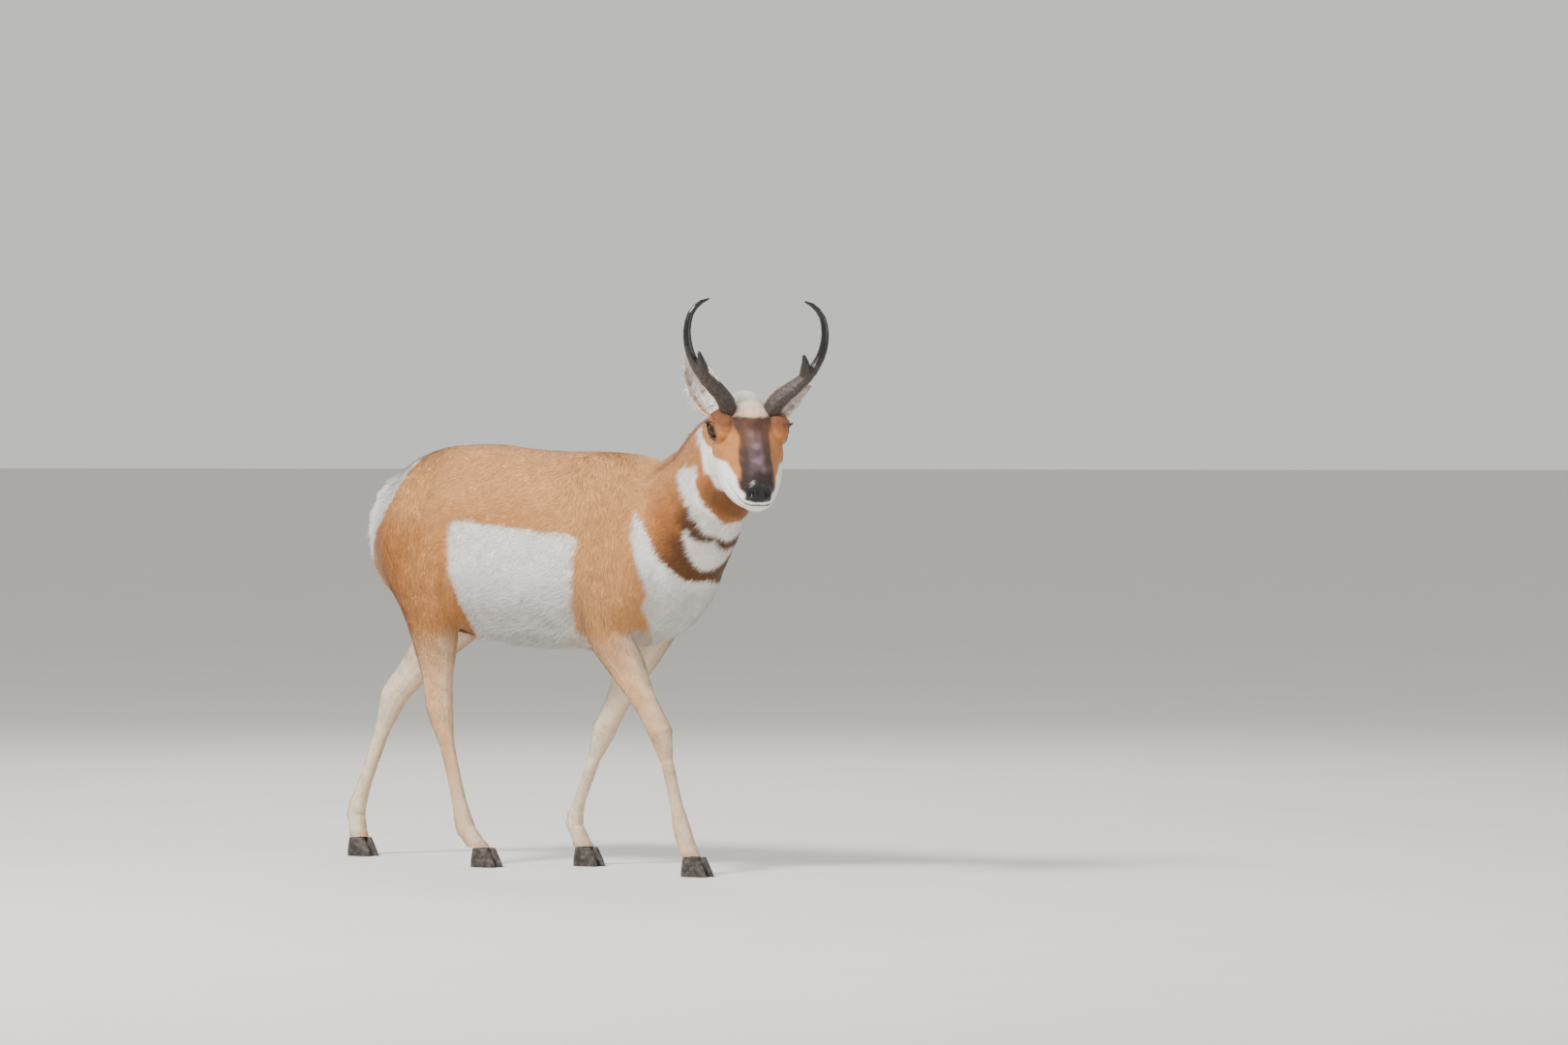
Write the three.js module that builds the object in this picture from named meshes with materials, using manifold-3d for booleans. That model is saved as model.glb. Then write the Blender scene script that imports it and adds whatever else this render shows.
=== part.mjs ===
// A pronghorn buck in mid-walk with its head turned to its right, as a still, life-size model.
// Millimetres. +X points to the animal's front, +Y to its left, +Z up, and the floor is z = 0.
// Each body form is a closed loft through a few named stations. Neighbouring forms are cut
// clear of one another, so every sub-part is one closed body that meets the next face to face.
import * as THREE from "three";
import Module from "manifold-3d";

const wasm = await Module();
wasm.setup();

// Gap between sub-parts that meet, and the reach of the cutting blocks
const GAP = 0.3;
const BLOCK = 4000;

// From the middle of the barrel, where the stations below are measured, to the model's origin
const ORIGIN = [15, -65];

// Sides of each kind of ring
const SIDES = { trunk: 32, neck: 26, head: 28, leg: 14, horn: 12, hoof: 12, tail: 10, eye: 14 };

// Trunk stations: x, back line, belly line, half width
const TRUNK = [
  [-508, 745, 690, 24],
  [-496, 782, 625, 66],
  [-460, 822, 570, 92],
  [-415, 849, 535, 106],
  [-355, 873, 505, 117],
  [-288, 885, 487, 123],
  [-192, 886, 474, 127],
  [-96, 876, 463, 134],
  [0, 871, 460, 136],
  [96, 870, 459, 129],
  [173, 866, 462, 119],
  [235, 850, 474, 114],
  [287, 805, 500, 103],
  [330, 735, 545, 84],
  [360, 655, 592, 46],
];
const TRUNK_STEP = 42;

// Neck stations, from inside the trunk to inside the skull: centre, half depth, half width
const NECK = [
  [150, 0, 640, 180, 95],
  [235, 0, 680, 163, 98],
  [322, -16, 741, 131, 84],
  [400, -46, 801, 103, 73],
  [458, -80, 862, 86, 64],
  [505, -110, 905, 64, 52],
];
const NECK_STEP = 40;
const NECK_CUT = { at: [268, 0, 715], facing: [0.82, 0, 0.57] };

// Head: where the line between the eyes lies, and how it is turned
const HEAD_AT = [552, -127, 914];
const HEAD_TURN = { yaw: -44.5, pitch: 24.5, roll: -1.7 };

// Head stations along the palate, from the poll to the nose: x, half width, top, bottom
const SKULL = [
  [-112, 16, 4, -40],
  [-104, 44, 34, -66],
  [-80, 59, 50, -86],
  [-40, 65, 57, -98],
  [0, 70, 54, -106],
  [30, 71, 44, -112],
  [60, 68, 28, -117],
  [90, 62, 10, -118],
  [120, 54, -5, -115],
  [150, 43, -19, -109],
  [170, 35, -30, -102],
  [184, 29, -40, -92],
  [193, 20, -50, -82],
  [197, 9, -58, -72],
];
const BROW_FULLNESS = 0.82;
const JAW_FULLNESS = 0.42;
const BROW_TAPER = 0.26;
const SKULL_STEP = 15;
const EYE = { at: [3, 61, 0], radius: 22 };
const ORBIT = { at: [2, 55, 3], size: [50, 31, 34] };
const LID_OPENING = { length: 22, height: 14.5, tilt: 8, forward: 42, depth: 60 };
const CHIN = { at: [160, 0, -97], size: [19, 25, 12] };
const UPPER_LIP = { at: [175, 0, -68], size: [19, 32, 18] };
const NOSTRIL = { at: [191, 16, -57], size: [7, 4, 8], tilt: 28 };
const MOUTH = { corner: 106, front: 204, corner_z: -70, front_z: -88, width: 140, slot: 1.6, depth: 6 };

// Horn: shaft centre in the head's frame with half depth and half width, then the flat prong
// and how far each horn's prong leans out
const HORN = [
  [-8, 42, 24, 23, 19],
  [-4, 48, 50, 23, 18],
  [0, 64, 75, 21, 16],
  [4, 87, 98, 20, 14],
  [4, 108, 121, 18, 12],
  [-2, 126, 145, 13, 10],
  [-10, 137, 172, 10, 9],
  [-22, 141, 200, 9, 8],
  [-34, 137, 226, 7.5, 7],
  [-44, 124, 246, 6, 5.5],
  [-49, 108, 257, 4, 4],
  [-50, 97, 261, 1.8, 1.8],
];
const PRONG = [
  [2, 106, 120, 18, 14],
  [10, 106, 144, 14, 10],
  [17, 107, 161, 8, 6],
  [21, 107, 174, 2.5, 3],
];
const PRONG_LEAN = { right: 13, left: -14 };
const HORN_STEP = 17;

// Ear: root and tip for each side in the head's frame, the way its cup opens, and its leaf
const EARS = {
  right: { root: [-74, -54, 0], tip: [-118, -122, 102], opens: [0.85, -0.4, 0.1] },
  left: { root: [-74, 50, -6], tip: [-108, 142, 50], opens: [0.85, 0.35, -0.1] },
};
const EAR_LEAF = [
  [0, 20, 1.9],
  [0.17, 31, 1.75],
  [0.42, 38, 1.5],
  [0.62, 36, 1.3],
  [0.8, 27, 1.15],
  [0.93, 13, 1],
  [1, 4, 0.9],
];
const EAR_THICK = 3;
const EAR_STEPS = 9;
const EAR_ACROSS = 6;

// Legs: joints from the top down. The girths run along them: joint, way to the next one,
// half depth, half width.
const FORE_GIRTH = [
  [0, 0, 34, 22],
  [0, 0.45, 80, 38],
  [1, 0, 104, 50],
  [1, 0.55, 84, 48],
  [2, 0, 57, 42],
  [2, 0.35, 41, 34],
  [2, 0.8, 26, 24],
  [3, 0, 26, 25],
  [3, 0.14, 21, 20],
  [3, 0.3, 14, 14],
  [3, 0.72, 13.5, 14],
  [3, 0.92, 17, 18],
  [4, 0, 19, 21],
  [4, 0.5, 18, 21],
  [4, 1, 22, 25],
];
const HIND_GIRTH = [
  [0, 0, 60, 22],
  [0, 0.5, 100, 47],
  [1, 0, 114, 60],
  [1, 0.5, 98, 58],
  [2, 0, 76, 50],
  [2, 0.4, 50, 38],
  [2, 0.75, 35, 27],
  [3, 0, 32, 25],
  [3, 0.12, 26, 22],
  [3, 0.3, 18, 15],
  [3, 0.72, 16, 15],
  [3, 0.92, 20, 19],
  [4, 0, 22, 22],
  [4, 0.5, 19, 21],
  [4, 1, 22, 25],
];
const LEGS = {
  fore_right: {
    joints: [[135, -70, 790], [200, -92, 620], [172, -95, 500], [294, -80, 290], [343, -75, 100], [372, -78, 30]],
    girth: FORE_GIRTH,
    hoof: [380, -78],
  },
  fore_left: {
    joints: [[130, 70, 790], [180, 92, 620], [138, 90, 495], [26, 75, 282], [-50, 70, 98], [-24, 78, 30]],
    girth: FORE_GIRTH,
    hoof: [-20, 78],
  },
  hind_right: {
    joints: [[-355, -48, 826], [-346, -82, 690], [-291, -98, 540], [-276, -95, 325], [-218, -85, 84], [-178, -78, 30]],
    girth: HIND_GIRTH,
    hoof: [-170, -78],
  },
  hind_left: {
    joints: [[-365, 48, 826], [-372, 82, 690], [-372, 98, 540], [-560, 95, 340], [-655, 85, 98], [-638, 78, 30]],
    girth: HIND_GIRTH,
    hoof: [-635, 78],
  },
};
const LEG_STEP = 30;
const LEG_REACH = 3;
const CORONET = 40;

// A claw of the cleft hoof, measured from the foot's middle: sole and coronet ends, half widths
const CLAW = { toe: 40, heel: 26, wide: 11.5, top_toe: 18, top_heel: 20, top_wide: 11.5, apart: 12.6 };

// Tail: from its root on the rump to its tip
const TAIL = [
  [-470, 0, 768, 20, 22],
  [-502, 0, 752, 22, 28],
  [-517, 0, 712, 18, 30],
  [-520, 0, 668, 12, 22],
  [-516, 0, 640, 4, 6],
];
const TAIL_STEP = 24;

const COLOURS = {
  coat: "#a8764a",
  pale: "#d9cdb8",
  head: "#5a4030",
  horn: "#1d1a18",
  eye: "#140f0d",
  hoof: "#2a2522",
};

const mirror = (point, side) => [point[0], point[1] * side, ...point.slice(2)];
const vector = (point) => new THREE.Vector3(point[0], point[1], point[2]);

const HEAD = new THREE.Matrix4()
  .makeRotationFromEuler(
    new THREE.Euler(
      THREE.MathUtils.degToRad(HEAD_TURN.roll),
      THREE.MathUtils.degToRad(HEAD_TURN.pitch),
      THREE.MathUtils.degToRad(HEAD_TURN.yaw),
      "ZYX",
    ),
  )
  .setPosition(vector(HEAD_AT));
const BODY = new THREE.Matrix4();

// A smooth line through rows of [where, values...] that never swings past its rows
function smooth(rows) {
  const rate = (i, c) => (rows[i + 1][c] - rows[i][c]) / (rows[i + 1][0] - rows[i][0]);
  const slope = (i, c) => {
    if (i === 0) return rate(0, c);
    if (i === rows.length - 1) return rate(i - 1, c);
    const before = rate(i - 1, c);
    const after = rate(i, c);
    return before * after <= 0 ? 0 : (2 * before * after) / (before + after);
  };
  return (where) => {
    let i = 0;
    while (i < rows.length - 2 && where > rows[i + 1][0]) i += 1;
    const span = rows[i + 1][0] - rows[i][0];
    const t = (where - rows[i][0]) / span;
    return rows[i].map((value, c) => {
      const a = value * (1 + 2 * t) * (1 - t) ** 2 + slope(i, c) * span * t * (1 - t) ** 2;
      return a + rows[i + 1][c] * t * t * (3 - 2 * t) + slope(i + 1, c) * span * t * t * (t - 1);
    });
  };
}

// Rows resampled in even steps, both ends kept
function resample(rows, step) {
  const line = smooth(rows);
  const first = rows[0][0];
  const length = rows[rows.length - 1][0] - first;
  const count = Math.max(2, Math.round(length / step));
  return Array.from({ length: count + 1 }, (_, i) => line(first + (length * i) / count));
}

// A closed solid from vertices and triangles, turned so that its faces point out
function solid(points, faces) {
  let volume = 0;
  for (const [a, b, c] of faces) volume += points[a].dot(points[b].clone().cross(points[c]));
  const turned = volume < 0 ? faces.map(([a, b, c]) => [a, c, b]) : faces;
  const mesh = new wasm.Mesh({
    numProp: 3,
    vertProperties: new Float32Array(points.flatMap((p) => [p.x, p.y, p.z])),
    triVerts: new Uint32Array(turned.flat()),
  });
  return new wasm.Manifold(mesh);
}

// Only the largest closed surface of a cut form
function largest(form) {
  return form.decompose().reduce((best, piece) => (piece.volume() > best.volume() ? piece : best));
}

// Rings of equal count joined into a closed loft with a fan over each end
function loft(rings, frame) {
  const count = rings[0].length;
  const points = rings.flat().map((p) => p.clone());
  const faces = [];
  for (let r = 0; r + 1 < rings.length; r += 1) {
    for (let k = 0; k < count; k += 1) {
      const a = r * count + k;
      const b = r * count + ((k + 1) % count);
      faces.push([a, b, b + count], [a, b + count, a + count]);
    }
  }
  for (const [ring, last] of [[0, false], [rings.length - 1, true]]) {
    const middle = new THREE.Vector3();
    for (const p of rings[ring]) middle.addScaledVector(p, 1 / count);
    points.push(middle);
    for (let k = 0; k < count; k += 1) {
      const a = ring * count + k;
      const b = ring * count + ((k + 1) % count);
      faces.push(last ? [a, b, points.length - 1] : [b, a, points.length - 1]);
    }
  }
  return solid(points.map((p) => p.applyMatrix4(frame)), faces);
}

// A loft along rows of [centre x, y, z, half depth, half width]. The width lies across the body.
// A ring's heading is taken over several steps, so that thick rings don't cross at a bend.
function tube(rows, { step, sides, grow = 0, frame = BODY, reach = 1 }) {
  let travelled = 0;
  const along = rows.map((row, i) => {
    if (i > 0) travelled += vector(row).distanceTo(vector(rows[i - 1]));
    return [travelled, ...row];
  });
  const stations = resample(along, step).map((row) => row.slice(1));
  const rings = stations.map((row, i) => {
    const before = vector(stations[Math.max(0, i - reach)]);
    const after = vector(stations[Math.min(stations.length - 1, i + reach)]);
    const heading = after.sub(before).normalize();
    const across = new THREE.Vector3(0, 1, 0).addScaledVector(heading, -heading.y).normalize();
    const deep = new THREE.Vector3().crossVectors(across, heading);
    const end = i === 0 ? -grow : i === stations.length - 1 ? grow : 0;
    return Array.from({ length: sides }, (_, k) => {
      const angle = (k / sides) * 2 * Math.PI;
      return vector(row)
        .addScaledVector(heading, end)
        .addScaledVector(deep, (row[3] + grow) * Math.cos(angle))
        .addScaledVector(across, (row[4] + grow) * Math.sin(angle));
    });
  });
  return loft(rings, frame);
}

// An ellipsoid, turned about the axis that runs across the head
function ball(centre, size, { sides = SIDES.eye, tilt = 0, frame = BODY }) {
  const geometry = new THREE.SphereGeometry(1, sides, Math.round(sides / 2));
  geometry.scale(...size);
  geometry.rotateY(THREE.MathUtils.degToRad(tilt));
  geometry.translate(...centre);
  geometry.applyMatrix4(frame);
  return closed(geometry);
}

// A three.js geometry with its seams merged, as a solid
function closed(geometry) {
  const places = new Map();
  const points = [];
  const given = geometry.getAttribute("position");
  const number = Array.from({ length: given.count }, (_, i) => {
    const p = new THREE.Vector3().fromBufferAttribute(given, i);
    const key = p.toArray().map((v) => Math.round(v * 100)).join();
    if (!places.has(key)) places.set(key, points.push(p) - 1);
    return places.get(key);
  });
  const faces = [];
  for (let i = 0; i < geometry.index.count; i += 3) {
    const [a, b, c] = [0, 1, 2].map((k) => number[geometry.index.getX(i + k)]);
    if (a !== b && b !== c && c !== a) faces.push([a, b, c]);
  }
  return solid(points, faces);
}

// Everything on one side of a plane
function beyond(point, facing) {
  const geometry = new THREE.BoxGeometry(BLOCK, BLOCK, BLOCK);
  geometry.translate(0, 0, BLOCK / 2);
  const turn = new THREE.Quaternion().setFromUnitVectors(new THREE.Vector3(0, 0, 1), facing);
  geometry.applyQuaternion(turn);
  geometry.translate(point.x, point.y, point.z);
  return closed(geometry);
}

// A form parted by a thin flat cut: what lies ahead of it and what lies behind
function split(form, at, facing) {
  const normal = vector(facing).normalize();
  const half = normal.clone().multiplyScalar(GAP / 2);
  const ahead = form.intersect(beyond(vector(at).add(half), normal));
  const behind = form.intersect(beyond(vector(at).sub(half), normal.clone().negate()));
  return [largest(ahead), largest(behind)];
}

function neckForm(grow) {
  return tube(NECK, { step: NECK_STEP, sides: SIDES.neck, grow });
}

// The barrel: slightly narrower over the back than at the belly
function trunk(grow) {
  const rings = resample(TRUNK, TRUNK_STEP).map(([x, top, bottom, half], i, rows) => {
    const middle = (top + bottom) / 2;
    const tall = (top - bottom) / 2 + grow;
    const end = i === 0 ? -grow : i === rows.length - 1 ? grow : 0;
    return Array.from({ length: SIDES.trunk }, (_, k) => {
      const angle = (k / SIDES.trunk) * 2 * Math.PI;
      const wide = Math.sign(Math.sin(angle)) * Math.abs(Math.sin(angle)) ** 0.88;
      const y = (half + grow) * wide * (1 - 0.13 * Math.cos(angle));
      return new THREE.Vector3(x + end, y, middle + tall * Math.cos(angle));
    });
  });
  return loft(rings, BODY);
}

// The skull and jaws: broad at the cheeks, narrower over the brow, square at the muzzle
function skull(grow) {
  const rings = resample(SKULL, SKULL_STEP).map(([x, half, top, bottom], i, rows) => {
    const middle = (top + bottom) / 2;
    const tall = (top - bottom) / 2 + grow;
    const end = i === 0 ? -grow : i === rows.length - 1 ? grow : 0;
    return Array.from({ length: SIDES.head }, (_, k) => {
      const angle = (k / SIDES.head) * 2 * Math.PI;
      const up = Math.max(0, Math.cos(angle));
      const fullness = Math.cos(angle) > 0 ? BROW_FULLNESS : JAW_FULLNESS;
      const wide = Math.sign(Math.sin(angle)) * Math.abs(Math.sin(angle)) ** fullness;
      const y = (half + grow) * wide * (1 - BROW_TAPER * up);
      return new THREE.Vector3(x + end, y, middle + tall * Math.cos(angle));
    });
  });
  return loft(rings, HEAD);
}

function orbit(side, grow) {
  const size = ORBIT.size.map((v) => v + grow);
  return ball(mirror(ORBIT.at, side), size, { frame: HEAD });
}

function eyeball(side, grow) {
  const radius = EYE.radius + grow;
  return ball(mirror(EYE.at, side), [radius, radius, radius], { frame: HEAD });
}

// The almond between the lids, cut through the orbit from outside. It looks a little forward.
function lidOpening(side) {
  const tilt = THREE.MathUtils.degToRad(LID_OPENING.tilt);
  const turn = THREE.MathUtils.degToRad(-side * LID_OPENING.forward);
  const rings = [0, 1].map((end) =>
    Array.from({ length: 14 }, (_, k) => {
      const angle = (k / 14) * 2 * Math.PI;
      const x = LID_OPENING.length * Math.cos(angle);
      const z = LID_OPENING.height * Math.sin(angle) * (1 - 0.35 * Math.cos(angle) ** 2);
      return new THREE.Vector3(
        x * Math.cos(tilt) + z * Math.sin(tilt),
        side * end * LID_OPENING.depth,
        z * Math.cos(tilt) - x * Math.sin(tilt),
      )
        .applyAxisAngle(new THREE.Vector3(0, 0, 1), turn)
        .add(vector(mirror(EYE.at, side)));
    }),
  );
  return loft(rings, HEAD);
}

// The line of the mouth: a thin slot that runs a few millimetres in from the lips
function mouthLine() {
  const length = MOUTH.front - MOUTH.corner;
  const drop = MOUTH.corner_z - MOUTH.front_z;
  const geometry = new THREE.BoxGeometry(length, MOUTH.width, MOUTH.slot);
  geometry.rotateY(Math.atan2(drop, length));
  geometry.translate(MOUTH.corner + length / 2, 0, (MOUTH.corner_z + MOUTH.front_z) / 2);
  geometry.applyMatrix4(HEAD);
  return closed(geometry).subtract(skull(-MOUTH.depth));
}

function headForm(grow) {
  const lips = [UPPER_LIP, CHIN].map(({ at, size }) =>
    ball(at, size.map((v) => v + grow), { frame: HEAD, sides: 16 }),
  );
  return [orbit(1, grow), orbit(-1, grow), ...lips].reduce((a, b) => a.add(b), skull(grow));
}

function makeHead() {
  let form = headForm(0).subtract(mouthLine());
  for (const side of [1, -1]) {
    const nostril = ball(mirror(NOSTRIL.at, side), NOSTRIL.size, { frame: HEAD, tilt: NOSTRIL.tilt, sides: 10 });
    form = form.subtract(eyeball(side, GAP)).subtract(lidOpening(side)).subtract(nostril);
  }
  return largest(form);
}

function makeHorn(name, side) {
  const shape = (rows) => tube(rows.map((row) => mirror(row, side)), { step: HORN_STEP, sides: SIDES.horn, frame: HEAD });
  const lean = (i) => (PRONG_LEAN[name] * i) / (PRONG.length - 1);
  const prong = PRONG.map(([x, y, ...size], i) => [x, y + lean(i), ...size]);
  return largest(shape(HORN).add(shape(prong)).subtract(headForm(GAP)));
}

// A cupped leaf: each ring is a crescent that opens less and less towards the root
function makeEar({ root, tip, opens }) {
  const axis = vector(tip).sub(vector(root));
  const length = axis.length();
  const heading = axis.clone().normalize();
  const open = vector(opens).addScaledVector(heading, -vector(opens).dot(heading)).normalize();
  const across = new THREE.Vector3().crossVectors(heading, open);
  const rings = resample(EAR_LEAF, 1 / EAR_STEPS).map(([t, half, wrap]) => {
    const centre = vector(root).addScaledVector(heading, t * length);
    const arc = (radius, from) =>
      Array.from({ length: EAR_ACROSS + 1 }, (_, k) => {
        const angle = from * wrap * (1 - (2 * k) / EAR_ACROSS);
        return centre
          .clone()
          .addScaledVector(across, radius * Math.sin(angle))
          .addScaledVector(open, -radius * 0.8 * Math.cos(angle));
      });
    return [...arc(half, 1), ...arc(Math.max(half - EAR_THICK, half * 0.45), -1)];
  });
  return largest(shell(rings).subtract(headForm(GAP)).subtract(neckForm(GAP)));
}

// Crescent rings joined into a closed shell, its two ends closed across the thickness
function shell(rings) {
  const count = rings[0].length;
  const points = rings.flat().map((p) => p.clone().applyMatrix4(HEAD));
  const faces = [];
  for (let r = 0; r + 1 < rings.length; r += 1) {
    for (let k = 0; k < count; k += 1) {
      const a = r * count + k;
      const b = r * count + ((k + 1) % count);
      faces.push([a, b, b + count], [a, b + count, a + count]);
    }
  }
  for (const [start, last] of [[0, false], [(rings.length - 1) * count, true]]) {
    for (let k = 0; k < EAR_ACROSS; k += 1) {
      const quad = [k, k + 1, count - 2 - k, count - 1 - k].map((v) => v + start);
      const pair = [[quad[0], quad[1], quad[2]], [quad[0], quad[2], quad[3]]];
      faces.push(...(last ? pair : pair.map(([a, b, c]) => [a, c, b])));
    }
  }
  return solid(points, faces);
}

// The rows of a leg's loft, from its joints and the girths along them
function legRows({ joints, girth }) {
  return girth.map(([joint, way, deep, wide]) => {
    const next = joints[Math.min(joint + 1, joints.length - 1)];
    const centre = joints[joint].map((v, c) => v + (next[c] - v) * way);
    return [...centre, deep, wide];
  });
}

function legForm(leg, grow) {
  return tube(legRows(leg), { step: LEG_STEP, sides: SIDES.leg, grow, reach: LEG_REACH });
}

// Upper leg, lower leg and cannon, parted square to the bone, and ended flat at the coronet
function makeLeg(leg) {
  const bone = (from, to) => leg.joints[to].map((v, c) => v - leg.joints[from][c]);
  const [whole] = split(legForm(leg, 0), [0, 0, CORONET + GAP / 2], [0, 0, 1]);
  const [below, upper] = split(whole, leg.joints[2], bone(1, 3));
  const [cannon, lower] = split(below, leg.joints[3], bone(2, 4));
  return { upper, lower, cannon };
}

// One claw: a flat sole, a sloping toe wall and a flat top at the coronet
function makeClaw([x, y], side) {
  const levels = [
    [0, CLAW.toe, CLAW.heel, CLAW.wide],
    [CORONET * 0.3, CLAW.toe - 5, CLAW.heel, CLAW.wide],
    [CORONET, CLAW.top_toe, CLAW.top_heel, CLAW.top_wide],
  ];
  const rings = levels.map(([z, toe, heel, wide]) =>
    Array.from({ length: SIDES.hoof }, (_, k) => {
      const angle = (k / SIDES.hoof) * 2 * Math.PI;
      const reach = Math.cos(angle) > 0 ? toe : heel;
      const pinch = 1 - 0.3 * Math.max(0, Math.cos(angle));
      return new THREE.Vector3(
        x + reach * Math.cos(angle),
        y + side * CLAW.apart + wide * pinch * Math.sin(angle),
        z,
      );
    }),
  );
  return loft(rings, BODY);
}

function material(colour, roughness) {
  return new THREE.MeshStandardMaterial({ color: colour, roughness, metalness: 0 });
}

const MATERIALS = {
  coat: material(COLOURS.coat, 0.9),
  pale: material(COLOURS.pale, 0.9),
  head: material(COLOURS.head, 0.85),
  horn: material(COLOURS.horn, 0.45),
  eye: material(COLOURS.eye, 0.1),
  hoof: material(COLOURS.hoof, 0.5),
};

function asMesh(name, form, finish) {
  const { numProp, vertProperties, triVerts } = form.getMesh();
  const geometry = new THREE.BufferGeometry();
  const places = new Float32Array((vertProperties.length / numProp) * 3);
  for (let i = 0; i < places.length; i += 1) {
    places[i] = vertProperties[Math.floor(i / 3) * numProp + (i % 3)];
  }
  geometry.setAttribute("position", new THREE.BufferAttribute(places, 3));
  geometry.setIndex(new THREE.BufferAttribute(new Uint32Array(triVerts), 1));
  geometry.computeVertexNormals();
  const mesh = new THREE.Mesh(geometry, MATERIALS[finish]);
  mesh.name = name;
  return mesh;
}

const animal = new THREE.Group();
const place = (name, form, finish) => animal.add(asMesh(name, form, finish));

let [neck, torso] = split(trunk(0).add(neckForm(0)), NECK_CUT.at, NECK_CUT.facing);
for (const leg of Object.values(LEGS)) {
  torso = torso.subtract(legForm(leg, GAP));
  neck = neck.subtract(legForm(leg, GAP));
}
place("torso", largest(torso), "coat");
place("neck", largest(neck.subtract(headForm(GAP))), "coat");
place("head", makeHead(), "head");
place("tail", largest(tube(TAIL, { step: TAIL_STEP, sides: SIDES.tail }).subtract(trunk(GAP))), "pale");
for (const [name, side] of [["right", -1], ["left", 1]]) {
  place(`eye_${name}`, eyeball(side, 0), "eye");
  place(`horn_${name}`, makeHorn(name, side), "horn");
  place(`ear_${name}`, makeEar(EARS[name]), "coat");
}
for (const [name, leg] of Object.entries(LEGS)) {
  const pieces = makeLeg(leg);
  for (const [piece, form] of Object.entries(pieces)) place(`${name}_${piece}`, form, "coat");
  for (const [claw, side] of [["inner", -1], ["outer", 1]]) {
    place(`${name}_claw_${claw}`, makeClaw(leg.hoof, side * Math.sign(leg.hoof[1])), "hoof");
  }
}
animal.position.set(-ORIGIN[0], -ORIGIN[1], 0);

export default animal;
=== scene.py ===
"""The looks of a life-size pronghorn buck: one skin, its coat, eyes, lashes, horns and hooves."""
import math

import bpy
import numpy as np
from mathutils import Euler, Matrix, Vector


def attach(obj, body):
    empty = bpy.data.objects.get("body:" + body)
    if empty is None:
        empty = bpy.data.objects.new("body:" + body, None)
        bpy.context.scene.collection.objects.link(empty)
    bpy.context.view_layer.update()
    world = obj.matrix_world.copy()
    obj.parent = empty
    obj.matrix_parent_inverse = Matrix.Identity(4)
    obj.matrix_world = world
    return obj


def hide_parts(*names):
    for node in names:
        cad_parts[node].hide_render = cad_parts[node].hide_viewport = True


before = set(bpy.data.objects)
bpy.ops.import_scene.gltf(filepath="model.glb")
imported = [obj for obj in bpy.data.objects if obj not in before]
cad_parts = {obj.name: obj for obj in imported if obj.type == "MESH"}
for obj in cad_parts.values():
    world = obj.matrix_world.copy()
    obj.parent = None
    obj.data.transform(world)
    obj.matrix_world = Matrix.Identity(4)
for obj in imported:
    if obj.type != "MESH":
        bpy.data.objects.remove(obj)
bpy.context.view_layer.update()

bl_info = {
    "name": "Pronghorn buck",
    "version": (1, 0, 0),
    "blender": (4, 5, 0),
    "location": "3D View > Sidebar > Pronghorn",
    "description": "Skin, coat, eyes, horns and hooves of a walking pronghorn buck",
    "category": "Object",
}

MM = 0.001

# The model's origin, in the millimetre frame that the body's measures below are taken in
ORIGIN = (15.0, -65.0, 0.0)

# The camera stands where the photo's did: azimuth, elevation, distance, and how far its aim
# lies right of and above the ground under the barrel
VIEW = {"azimuth": 38.0, "elevation": 3.5, "distance": 14.0, "right": 0.444, "up": 0.721}
PHOTO_WIDTH = 1620
PIXELS_PER_METRE = 495.0
SENSOR = 36.0
FLOOR_REACH = 400.0

# Head: where the line between the eyes lies, and its turn about x, y and z in degrees
HEAD_AT = (552.0, -127.0, 914.0)
HEAD_TURN = (-1.7, 24.5, -44.5)

# Eye in the head's frame: the ball, how far it looks forward, and its lids' half length and height
EYE = {"at": (3.0, 61.0, 0.0), "radius": 21.6, "forward": 42.0, "length": 22.0, "height": 14.5}
EYE_BULGE = 0.05
LASH_CLEARANCE = 23.5
LASHES = 64
LID_BLACK = (30.0, 30.0, 19.0)

# Bones that the coat's lie, the markings and the unwrap follow: start, end and flesh radius
NECK_BASE = (150.0, 0.0, 640.0)
NECK_TOP = (505.0, -110.0, 905.0)
TRUNK_BONE = ((330.0, 0.0, 650.0), (-500.0, 0.0, 720.0), 135.0)
TAIL_BONE = ((-490.0, 0.0, 765.0), (-520.0, 0.0, 640.0), 26.0)
LEG_JOINTS = {
    "fore_right": [
        (135, -82, 790), (200, -92, 620), (172, -95, 500), (294, -80, 290), (343, -75, 100), (376, -78, 20),
    ],
    "fore_left": [
        (130, 82, 790), (180, 92, 620), (138, 90, 495), (26, 75, 282), (-50, 70, 98), (-22, 78, 20),
    ],
    "hind_right": [
        (-360, -72, 830), (-346, -82, 690), (-291, -98, 540),
        (-276, -95, 325), (-218, -85, 84), (-174, -78, 20),
    ],
    "hind_left": [
        (-370, 72, 830), (-372, 82, 690), (-372, 98, 540), (-560, 95, 340), (-655, 85, 98), (-636, 78, 20),
    ],
}
LEG_RADII = (70.0, 75.0, 42.0, 19.0, 21.0)

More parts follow.
